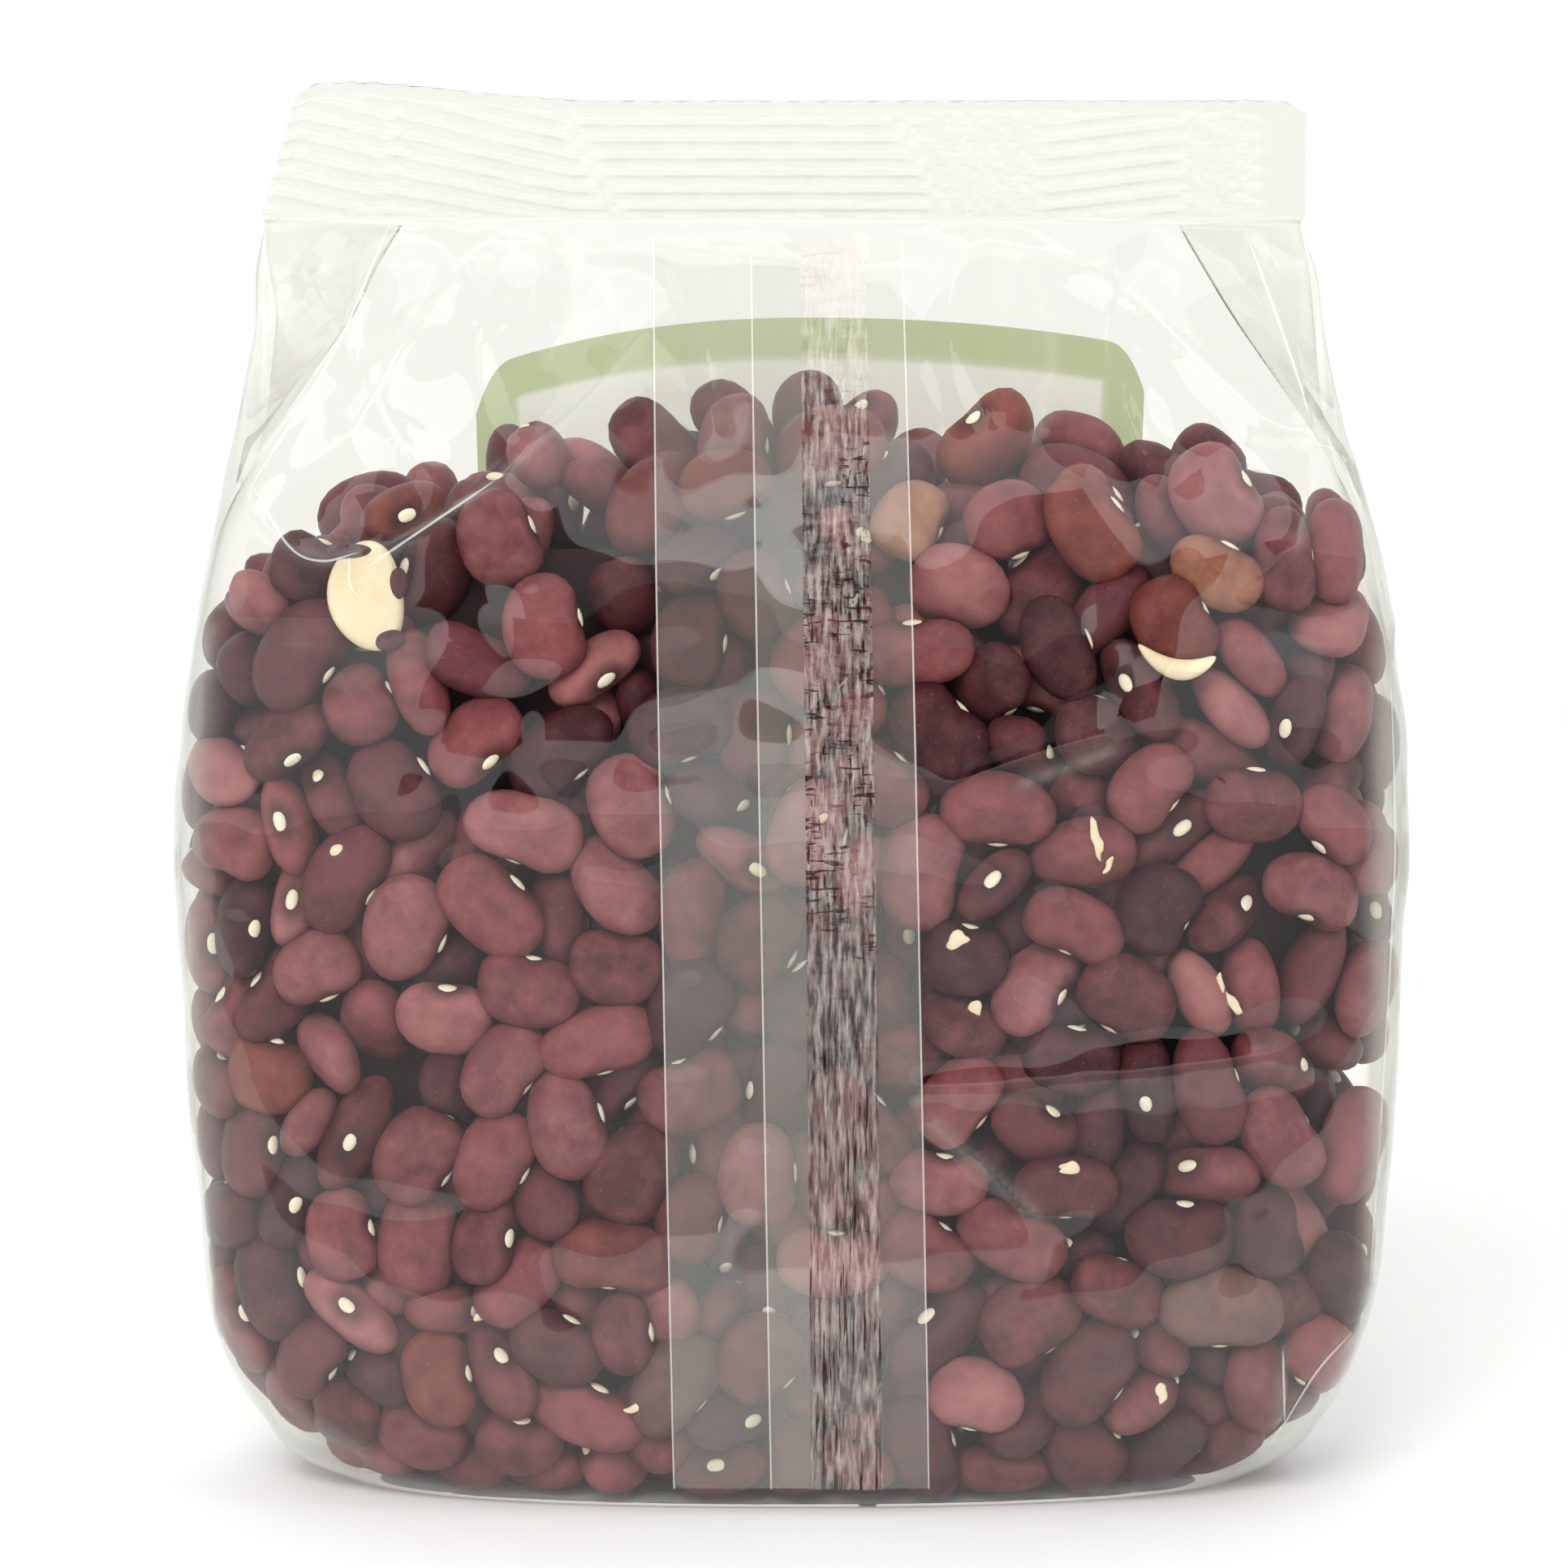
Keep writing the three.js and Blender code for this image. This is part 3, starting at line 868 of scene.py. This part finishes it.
def film_shader(name, haze=0.03, milk_and_veil=None, grain=0.0, crazed_painted_dark=False):
    """Cast polypropylene film, rolled smooth: nearly all clear, with a hard gloss from both its faces."""
    material, tree = new_material(name)
    facing_amount = add(tree, "LayerWeight", {"Blend": 0.5}).outputs["Facing"]
    fifth = add(tree, "Math", {0: facing_amount, 1: 5.0}, operation="POWER").outputs[0]
    # one face reflects 3.3% straight on; two faces together reflect 2F / (1 + F)
    once = add(tree, "Math", {0: fifth, 1: 0.967, 2: 0.033}, operation="MULTIPLY_ADD").outputs[0]
    twice = add(tree, "Math", {0: once, 1: 2.0}, operation="MULTIPLY").outputs[0]
    plus = add(tree, "Math", {0: once, 1: 1.0}, operation="ADD").outputs[0]
    mirrored = add(tree, "Math", {0: twice, 1: plus}, operation="DIVIDE").outputs[0]
    gloss_inputs = {"Color": colour("#FFFFFF"), "Roughness": haze}
    if grain:
        # crushed by the welding bar: grains 0.8 mm across, drawn out up the bag
        place = add(tree, "TexCoord").outputs["Object"]
        stretched = add(tree, "Mapping", {"Vector": place, "Scale": (1, 1, 0.3)}).outputs[0]
        noise = add(tree, "TexNoise", {"Vector": stretched, "Scale": 1 / (0.8 * MM), "Detail": 2.0})
        bump = add(tree, "Bump", {"Strength": grain, "Distance": 0.0003, "Height": noise.outputs[0]})
        gloss_inputs["Normal"] = bump.outputs[0]
    gloss = add(tree, "BsdfGlossy", gloss_inputs)
    # seen edge on, the film passes greyer light: partly the longer way through it, partly painted shade for
    # the darker reflections at its edges
    glancing = add(tree, "Math", {0: facing_amount, 1: 3.0}, operation="POWER").outputs[0]
    tint = mix_colours(tree, glancing, colour("#FDFDFB"), colour("#C9CDC6"))
    clear = add(tree, "BsdfTransparent", {"Color": tint})
    surface = add(tree, "MixShader", {0: mirrored, 1: clear.outputs[0], 2: gloss.outputs[0]})
    if milk_and_veil is not None:
        pale = add(tree, "BsdfDiffuse", {"Color": colour("#D6D7CF")})
        surface = add(tree, "MixShader", {0: milk_and_veil(tree), 1: surface.outputs[0], 2: pale.outputs[0]})
    if crazed_painted_dark:
        surface = crazing_and_painted_dark(tree, surface)
    add(tree, "OutputMaterial", {"Surface": surface.outputs[0]})
    return material


def crimp_and_veil_amount(tree):
    """How milky the film is: where the hot jaws crimped it and along its hard creases, and the painted veil
    of reflected light at its sides.
    """
    return add(tree, "Attribute", attribute_name="crimp_and_veil").outputs["Fac"]


def crazing_and_painted_dark(tree, film):
    """Crushed film: dark hairlines in painted shade, for the dark that the crushed film refracts and
    mirrors, and milky patches, broken across above and drawn out below.
    """
    place = add(tree, "TexCoord").outputs["Object"]
    height = add(tree, "SeparateXYZ", {0: place}).outputs["Z"]
    upper = add(tree, "MapRange", {"Value": height, 1: 48 * MM, 2: 72 * MM, 3: 0.0, 4: 1.0}).outputs[0]
    # the painted dark fades where the film has no beans behind it
    empty = add(tree, "MapRange", {"Value": height, 1: 116 * MM, 2: 124 * MM, 3: 1.0, 4: 0.12}).outputs[0]

    def noise(wide, high, detail=2.0, roughness=0.6):
        scale = [1 / (wide * MM), 0.0, 1 / (high * MM)]
        at = add(tree, "Mapping", {"Vector": place, "Scale": scale}).outputs[0]
        inputs = {"Vector": at, "Scale": 1.0, "Detail": detail, "Roughness": roughness}
        return add(tree, "TexNoise", inputs).outputs[0]

    def above(value, low, high, most=1.0):
        return add(tree, "MapRange", {"Value": value, 1: low, 2: high, 3: 0.0, 4: most}).outputs[0]

    lines = above(noise(0.4, 10.0, 3.0, 0.7), 0.54, 0.575)
    bars = above(noise(3.2, 0.5, 2.0), 0.575, 0.605)
    rents = above(noise(0.45, 2.6, 3.0), 0.57, 0.605)
    broken = add(tree, "Math", {0: bars, 1: rents}, operation="MAXIMUM").outputs[0]
    dark = mix_colours(tree, upper, lines, broken)
    patchy = above(noise(5.0, 8.0), 0.42, 0.54, 0.85)
    dark = add(tree, "Math", {0: dark, 1: patchy}, operation="MULTIPLY").outputs[0]
    dark = add(tree, "Math", {0: dark, 1: empty}, operation="MULTIPLY").outputs[0]
    milky = above(noise(0.6, 4.0, 3.0), 0.42, 0.68, 0.42)
    pale = add(tree, "BsdfDiffuse", {"Color": colour("#DDD2CC")})
    # painted shade: near-black hairlines for the dark that the crushed film refracts and mirrors
    black = add(tree, "BsdfDiffuse", {"Color": colour("#24100F")})
    film = add(tree, "MixShader", {0: milky, 1: film.outputs[0], 2: pale.outputs[0]})
    return add(tree, "MixShader", {0: dark, 1: film.outputs[0], 2: black.outputs[0]})


def stretched_film_and_highlight():
    """Film stretched white along a hard fold or a cut edge, with a painted highlight along it: a thin pale
    line that light half passes.
    """
    material, tree = new_material("cast_film_stretched_white_and_highlight")
    # stress whitening and painted highlight: a pale milky line
    milky = add(tree, "BsdfPrincipled", {"Base Color": colour("#F4F5F1"), "Roughness": 0.3})
    clear = add(tree, "BsdfTransparent", {"Color": colour("#FFFFFF")})
    both = add(tree, "MixShader", {0: 0.4, 1: clear.outputs[0], 2: milky.outputs[0]})
    add(tree, "OutputMaterial", {"Surface": both.outputs[0]})
    return material


def make_fold_lines(beans):
    """The hard folds, the cut edges of the seam and its fold, as thin raised pale lines on the back panel:
    stretched film with a painted highlight.
    """
    edges = (SEAM_OUTER_EDGE, SEAM_INNER_EDGE, SEAM_FOLD)
    seam_edges = [((top, SEAM_TOP), (foot, SEAM_BOTTOM)) for top, foot in edges]
    points, faces = [], []
    for i, places in enumerate((*HARD_FOLDS, *seam_edges)):
        on_seam = i >= len(HARD_FOLDS)
        line = smooth_route(places)
        along = np.gradient(line, axis=0)
        side = np.stack([along[:, 1], -along[:, 0]], axis=1) / np.linalg.norm(along, axis=1)[:, None]
        t = np.linspace(0, 1, len(line))
        width = 0.09 if on_seam else 0.13 * np.minimum(1, 5 * np.minimum(t, 1 - t) + 0.15)
        rows = []
        for sign in (-1, 1):
            edge = line + sign * side * np.reshape(width, (-1, 1))
            base = panel_point(edge[:, 0], edge[:, 1], BACK)
            base[:, 1] -= film_relief(base, beans) + (0.62 if on_seam else 0.1)
            rows.append(base)
        faces.append(grid_faces(2, len(line)) + sum(len(p) for p in points))
        points.append(np.concatenate(rows))
    piece = make_mesh("fold_lines", np.concatenate(points), np.concatenate(faces), stretched_film_and_highlight())
    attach(piece, "root")


def crease_milk_and_side_veil(points):
    """How milky the film is away from the seal, along its creases; and paler at the sides, the right more
    than the left, as a painted veil of reflected light where it stands off the beans.
    """
    x, y, z = points.T
    # painted reflection: a pale veil at the sides, stronger on the right, gone higher up
    milk_and_veil = 0.3 * smoothstep(61.5, 64.5, x) + 0.1 * smoothstep(61, 65, -x)
    milk_and_veil = milk_and_veil * (1 - smoothstep(85, 105, z)) * (y < 10)
    back = np.nonzero((y < 0) & (z < SEAL_FOOT))[0]
    across = points[back][:, [0, 2]]
    for places, _, spread in BACK_CREASES:
        if spread > SOFT_FOLD:
            continue
        route = smooth_route(places, 2.0)
        low, high = route.min(axis=0) - 3, route.max(axis=0) + 3
        near = np.nonzero(np.all((across > low) & (across < high), axis=1))[0]
        milk_and_veil[back[near]] += 0.13 * np.exp(-distance_to(across[near], route) / 0.5)
    return milk_and_veil


def make_film(beans, material):
    """The whole tube of film, from its folded base up through the seal."""
    # the mesh is finest on the back panel, which has the creases, and in the seal, which has the ribs
    right = np.radians(np.linspace(-40, 40, 38, endpoint=False))
    front = np.radians(np.linspace(40, 140, 90, endpoint=False))
    left = np.radians(np.linspace(140, 220, 38, endpoint=False))
    back = np.radians(np.linspace(220, 320, 190, endpoint=False))
    angles = np.concatenate([right, front, left, back])
    levels = np.concatenate([
        np.full(8, 0.0), np.linspace(0, 6, 14)[:-1], np.linspace(6, SEAL_FOOT, 180)[:-1],
        np.linspace(SEAL_FOOT, HEIGHT, 64),
    ])
    angle, z = np.meshgrid(angles, levels)
    points = wall_point(angle.ravel(), z.ravel()).reshape(len(levels), len(angles), 3)
    shrink = np.linspace(0.02, 1, 9)[:-1]
    points[:8, :, 0] *= 0.35 + 0.65 * shrink[:, None]
    points[:8, :, 1] *= shrink[:, None]
    along = np.gradient(points, axis=1)
    upward = np.gradient(points, axis=0)
    normals = np.cross(along, upward)
    normals /= np.maximum(np.linalg.norm(normals, axis=2), 1e-9)[..., None]
    flat = points.reshape(-1, 3)
    relief = film_relief(flat, beans)
    flat = flat + normals.reshape(-1, 3) * relief[:, None]
    sealed = flat[:, 2] > SEAL_FOOT
    ribs = rib_height(flat[sealed, 0], flat[sealed, 2])
    flat[sealed, 1] += ribs
    crimp_and_veil = crease_milk_and_side_veil(flat)
    crimp_and_veil[sealed] = 0.12 + 0.2 * smoothstep(-0.2, 0.3, ribs / RIB_DEPTH) * (ribs != 0)
    top_row = flat[-len(angles):]
    top_row[:, 2] -= 0.5 * np.abs(((top_row[:, 0] / TOOTH_PITCH) % 1) * 2 - 1)
    # the left end of the seal is bent back, so it stands higher and slants, and both corners are blunt
    rise = np.clip((flat[:, 2] - SEAL_FOOT) / SEAL_HEIGHT, 0, 1)
    bent = smoothstep(20, 50, -flat[:, 0])
    slant = smoothstep(SEAL_FOOT - 12, SEAL_FOOT, flat[:, 2]) * smoothstep(35, 56, -flat[:, 0])
    corner = smoothstep(52.5, 56, np.abs(flat[:, 0])) ** 2
    flat[:, 2] += (2.0 * bent - 1.4 * corner) * rise
    flat[:, 0] += slant * (4.0 * rise - 2.2)
    flat[:, 2] = np.maximum(flat[:, 2], 0.05)
    piece = make_mesh("film", flat, grid_faces(len(levels), len(angles), closed=True), material)
    set_attribute(piece, "crimp_and_veil", "FLOAT", crimp_and_veil)
    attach(piece, "root")
    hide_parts("bag")


# The back seam's edges, as their place across the bag at the top and at the foot
SEAM_OUTER_EDGE = (-15.2, -13.0)
SEAM_INNER_EDGE = (-4.6, -2.4)
WELD_LEFT = (0.7, 2.0)
WELD_RIGHT = (7.8, 9.8)
SEAM_FOLD = (11.8, 14.8)
SEAM_TOP = SEAL_FOOT - 2.5
SEAM_BOTTOM = 3.0
TOP_LAYER = 0.42  # how far each layer of the seam stands off the panel
LOW_LAYER = 0.22


def seam_strip(left, right, offset, beans, columns, ripple=None):
    """One layer of the seam, lying on the back panel between two edges that lean a little."""
    levels = np.linspace(SEAM_BOTTOM, SEAM_TOP, 250)
    share = np.linspace(0, 1, columns)
    lean = ((SEAL_FOOT - levels) / SEAL_FOOT)[:, None]
    edge_left = left[0] + (left[1] - left[0]) * lean
    edge_right = right[0] + (right[1] - right[0]) * lean
    x = edge_left + (edge_right - edge_left) * share
    z = levels[:, None] + 0 * x
    base = panel_point(x.ravel(), z.ravel(), BACK)
    stand = film_relief(base, beans) + offset
    stand += 0.1 * soft_noise(base * np.array([1, 0, 0.4]), 5, 41)
    if ripple is not None:
        stand = stand + ripple(x.ravel(), z.ravel(), np.tile(share, len(levels)))
    base[:, 1] = np.maximum(base[:, 1] - stand, cad_low.y / MM - 0.4)
    return base, grid_faces(len(levels), columns)


def make_seam(beans, clear, melted):
    """The back seam: two edges of the film welded face to face and folded over to the left."""
    strips = (
        (SEAM_OUTER_EDGE, WELD_LEFT, TOP_LAYER, 46),
        (SEAM_INNER_EDGE, WELD_LEFT, LOW_LAYER, 20),
        (WELD_RIGHT, SEAM_FOLD, TOP_LAYER, 14),
    )
    points, faces = [], []
    for left, right, offset, columns in strips:
        strip, quads = seam_strip(left, right, offset, beans, columns)
        faces.append(quads + sum(len(p) for p in points))
        points.append(strip)
    flaps = make_mesh("seam_flaps", np.concatenate(points), np.concatenate(faces), clear)

    def weld(x, z, share):
        upper = smoothstep(48, 72, z)
        points = np.stack([x, 0 * x, z], axis=1)
        blocks = np.sin(2 * math.pi * z / 3.0 + 2.4 * soft_noise(points, 6, 21))
        blocks = blocks + soft_noise(points, 1.6, 22)
        streaks = soft_noise(points * np.array([1, 1, 0.12]), 0.9, 23)
        rim = np.exp(-share / 0.05) + np.exp(-(1 - share) / 0.05)
        return 0.1 + 0.12 * blocks * upper + 0.1 * streaks * (1.2 - upper) + 0.14 * rim

    band, quads = seam_strip(WELD_LEFT, WELD_RIGHT, TOP_LAYER, beans, 48, weld)
    weld_band = make_mesh("seam_weld", band, quads, melted)
    for piece in (flaps, weld_band):
        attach(piece, "root")


# ---------------------------------------------------------------- the print


def ink(name, body):
    """Flexographic ink on the front film: thin flat fields that let some light through."""
    material, tree = new_material("flexo_ink_" + name)
    if name == "panel":
        band = add(tree, "Attribute", attribute_name="band").outputs["Fac"]
        body = mix_colours(tree, band, body, colour("#CDD8B0"))
    shader = add(tree, "BsdfPrincipled", {"Base Color": body, "Roughness": 0.35})
    glow = add(tree, "BsdfTranslucent", {"Color": body})
    thin = add(tree, "MixShader", {0: 0.5, 1: shader.outputs[0], 2: glow.outputs[0]})
    clear = add(tree, "BsdfTransparent", {"Color": body})
    half_clear = add(tree, "MixShader", {0: 0.8, 1: clear.outputs[0], 2: thin.outputs[0]})
    add(tree, "OutputMaterial", {"Surface": half_clear.outputs[0]})
    return material


PANEL_HALF = 37.5
PANEL_MIDDLE = 1.9
PANEL_FOOT = 34.0
PANEL_BORDER = 4.6


def panel_crown(across):
    """The top edge of the printed panel: a low arch with rounded corners."""
    share = np.abs(across) / PANEL_HALF
    fall = np.where(across < 0, 6.0, 3.4)
    return 129.3 - fall * share ** 2.2 - 5.0 * np.clip((share - 0.88) / 0.12, 0, 1) ** 2.4


def make_print(beans):
    """An arched cream panel with a green border, and three plain bean shapes on it, on the front."""
    columns, rows = 120, 150
    across = np.linspace(-PANEL_HALF, PANEL_HALF, columns)
    top = panel_crown(across)
    share = np.linspace(0, 1, rows)[:, None]
    z = PANEL_FOOT + (top - PANEL_FOOT)[None] * share
    x = across[None] + PANEL_MIDDLE + 0 * z
    base = panel_point(x.ravel(), z.ravel(), FRONT)
    base[:, 1] += film_relief(base, beans) + 0.12
    piece = make_mesh("front_print", base, grid_faces(rows, columns), ink("panel", colour("#F8F8F1")))
    edge = np.minimum(top[None] - z, np.minimum(z - PANEL_FOOT, PANEL_HALF - np.abs(across[None]) + 0 * z))
    band = 1 - smoothstep(PANEL_BORDER - 0.4, PANEL_BORDER + 0.4, edge)
    set_attribute(piece, "band", "FLOAT", band)
    shapes = make_mesh("front_print_beans", *printed_beans(beans), ink("wine", colour("#7C2F35")))
    for printed in (piece, shapes):
        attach(printed, "root")


def printed_beans(beans):
    """Three flat kidney shapes: place across and up, half length and lean in degrees."""
    angle, radius = np.meshgrid(np.linspace(0, 2 * math.pi, 48, endpoint=False), np.linspace(0.002, 1, 14))
    points, faces = [], []
    for x, z, half, lean in ((-12.0, 72.0, 13.0, 20), (16.0, 82.0, 13.0, -35), (12.0, 56.0, 13.0, 5)):
        along = (half * radius * np.cos(angle)).ravel()
        up = (0.6 * half * radius * np.sin(angle)).ravel()
        dent = 1 - 0.3 * np.exp(-((along / half / 0.4) ** 2))
        up = up * np.where(up < 0, dent, 1) - 0.12 * along ** 2 / half
        turn = math.radians(lean)
        place_x = PANEL_MIDDLE + x + along * math.cos(turn) - up * math.sin(turn)
        place_z = z + along * math.sin(turn) + up * math.cos(turn)
        base = panel_point(place_x, place_z, FRONT)
        base[:, 1] += film_relief(base, beans) + 0.24
        faces.append(grid_faces(14, 48, closed=True) + sum(len(p) for p in points))
        points.append(base)
    return np.concatenate(points), np.concatenate(faces)


# ---------------------------------------------------------------- floor, light and camera

FLOOR_GLOW = 0.03
GREY_CARD = (-900, 900, -1350, -110)  # left, right, front and back on the floor, in mm
WALL_LIGHT = 0.9
FRONT_LIGHT = 0.95
CEILING_LIGHT = 0.8
OVERHEAD_POWER = 2
KEY_POWER = 10
BLACK_CARD = (-230, 300, 120, 300, -680)  # left, right, low, high and how far in front, in mm


def make_sweep():
    """A white floor that curves up into a backdrop, lit until it is almost pure white."""
    material, tree = new_material("painted_board_white")
    place = add(tree, "TexCoord").outputs["Object"]
    grain = add(tree, "TexNoise", {"Vector": place, "Scale": 40.0})
    tint = mix_colours(tree, grain.outputs["Fac"], colour("#F3F3F1"), colour("#F5F5F3"))
    shader = add(tree, "BsdfPrincipled", {
        "Base Color": tint, "Roughness": 0.8, "Specular IOR Level": 0.1,
        "Emission Color": colour("#FFFFFF"), "Emission Strength": FLOOR_GLOW,
    })
    add(tree, "OutputMaterial", {"Surface": shader.outputs[0]})
    turn = np.linspace(0, math.pi / 2, 16)
    y = np.concatenate([[-1400], 700 + 400 * np.sin(turn), [1100]])
    z = np.concatenate([[0], 400 - 400 * np.cos(turn), [2000]])
    x = np.array([-1800, 1800])
    points = np.stack([np.tile(x, len(y)), np.repeat(y, 2), np.repeat(z, 2)], axis=1)
    sweep = make_mesh("sweep", points, grid_faces(len(y), 2), material)


def make_card(name, shade, points):
    """A card near the camera. Only the film's gloss shows it."""
    material, tree = new_material("matt_" + name)
    shader = add(tree, "BsdfPrincipled", {"Base Color": colour(shade), "Roughness": 0.9})
    add(tree, "OutputMaterial", {"Surface": shader.outputs[0]})
    card = make_mesh(name, points, [(0, 1, 2, 3)], material)
    card.visible_camera = False
    card.visible_diffuse = False
    card.visible_shadow = False


def make_cards():
    """The black card makes dark patches on the film. The grey one, on the floor, keeps its veil faint."""
    left, right, low, high, y = BLACK_CARD
    corners = [(left, y, low), (right, y, low), (right, y, high), (left, y, high)]
    make_card("black_card", "#2A2A2C", corners)
    left, right, near, far = GREY_CARD
    corners = [(left, near, 1), (right, near, 1), (right, far, 1), (left, far, 1)]
    make_card("grey_card", "#A8A8A8", corners)


def make_room():
    """A white room, brightest behind the camera and a little darker at the ceiling."""
    world = bpy.data.worlds.new("room")
    bpy.context.scene.world = world
    world.use_nodes = True
    tree = world.node_tree
    tree.nodes.clear()
    way = add(tree, "TexCoord").outputs["Generated"]
    parts = add(tree, "SeparateXYZ", {0: way})
    front = add(tree, "MapRange", {0: parts.outputs["Y"], 1: 0.1, 2: -0.5, 3: WALL_LIGHT, 4: FRONT_LIGHT})
    up = add(tree, "MapRange", {0: parts.outputs["Z"], 1: 0.45, 2: 0.7, 3: 0.0, 4: 1.0})
    level = mix_colours(tree, up.outputs[0], front.outputs[0], (CEILING_LIGHT,) * 3 + (1,))
    # above head height the room has lamps, beams and windows, which the folds of the film mirror as facets
    cells = add(tree, "TexVoronoi", {"Vector": way, "Scale": 2.8})
    uneven = add(tree, "SeparateXYZ", {0: cells.outputs["Color"]}).outputs[0]
    facet = add(tree, "MapRange", {"Value": uneven, 1: 0.0, 2: 1.0, 3: 0.15, 4: 1.8}).outputs[0]
    above_head = add(tree, "MapRange", {0: parts.outputs["Z"], 1: 0.22, 2: 0.26, 3: 0.0, 4: 1.0}).outputs[0]
    facet = mix_colours(tree, above_head, (1, 1, 1, 1), facet)
    strength = mix_colours(tree, 1.0, level, facet, blend="MULTIPLY")
    background = add(tree, "Background", {"Color": strength, "Strength": 1.0})
    add(tree, "OutputWorld", {"Surface": background.outputs[0]})


def add_panel(name, place, aim, size, power, mirrored=True):
    """A soft box: a lit rectangle that faces a point."""
    light = bpy.data.lights.new(name, "AREA")
    light.shape = "RECTANGLE"
    light.size, light.size_y = size
    light.energy = power
    lamp = bpy.data.objects.new(name, light)
    lamp.location = place
    lamp.visible_glossy = mirrored
    lamp.rotation_euler = (Vector(aim) - Vector(place)).to_track_quat("-Z", "Y").to_euler()
    bpy.context.scene.collection.objects.link(lamp)


def make_light():
    make_room()
    make_cards()
    add_panel("overhead", (0, 0, 1.3), (0, 0, 0), (1.8, 1.0), OVERHEAD_POWER)
    add_panel("key", (-0.3, -1.0, 0.85), (0, 0, 0.06), (0.7, 0.5), KEY_POWER, mirrored=False)


def make_camera():
    """A long lens, a little above the bag, square to its back."""
    distance, rise = 0.6, math.radians(7.5)
    target = np.array([-1.0, 0.0, 78.1]) * MM
    view_width = 173.9 * MM  # what the picture takes in across, at the middle of the bag
    data = bpy.data.cameras.new("camera")
    data.sensor_width = 36
    data.lens = data.sensor_width * distance / view_width
    camera = bpy.data.objects.new("camera", data)
    camera.location = target + distance * np.array([0, -math.cos(rise), math.sin(rise)])
    camera.rotation_euler = (math.pi / 2 - rise, 0, 0)
    bpy.context.scene.collection.objects.link(camera)
    bpy.context.scene.camera = camera


bpy.context.scene.view_settings.view_transform = "Standard"
bpy.context.scene.cycles.transparent_max_bounces = 32
bpy.context.scene.cycles.max_bounces = 6
bpy.context.scene.cycles.diffuse_bounces = 3
bpy.context.scene.cycles.glossy_bounces = 3
make_camera()
make_light()
make_sweep()
beans_inside = make_beans()
make_core()
clear_film = film_shader("cast_film_clear", milk_and_veil=crimp_and_veil_amount)
flap_film = film_shader("cast_film_scuffed", milk_and_veil=lambda tree: 0.07)
weld_film = film_shader("cast_film_melted", haze=0.08, grain=0.5, crazed_painted_dark=True)
make_film(beans_inside, clear_film)
make_seam(beans_inside, flap_film, weld_film)
make_fold_lines(beans_inside)
make_print(beans_inside)
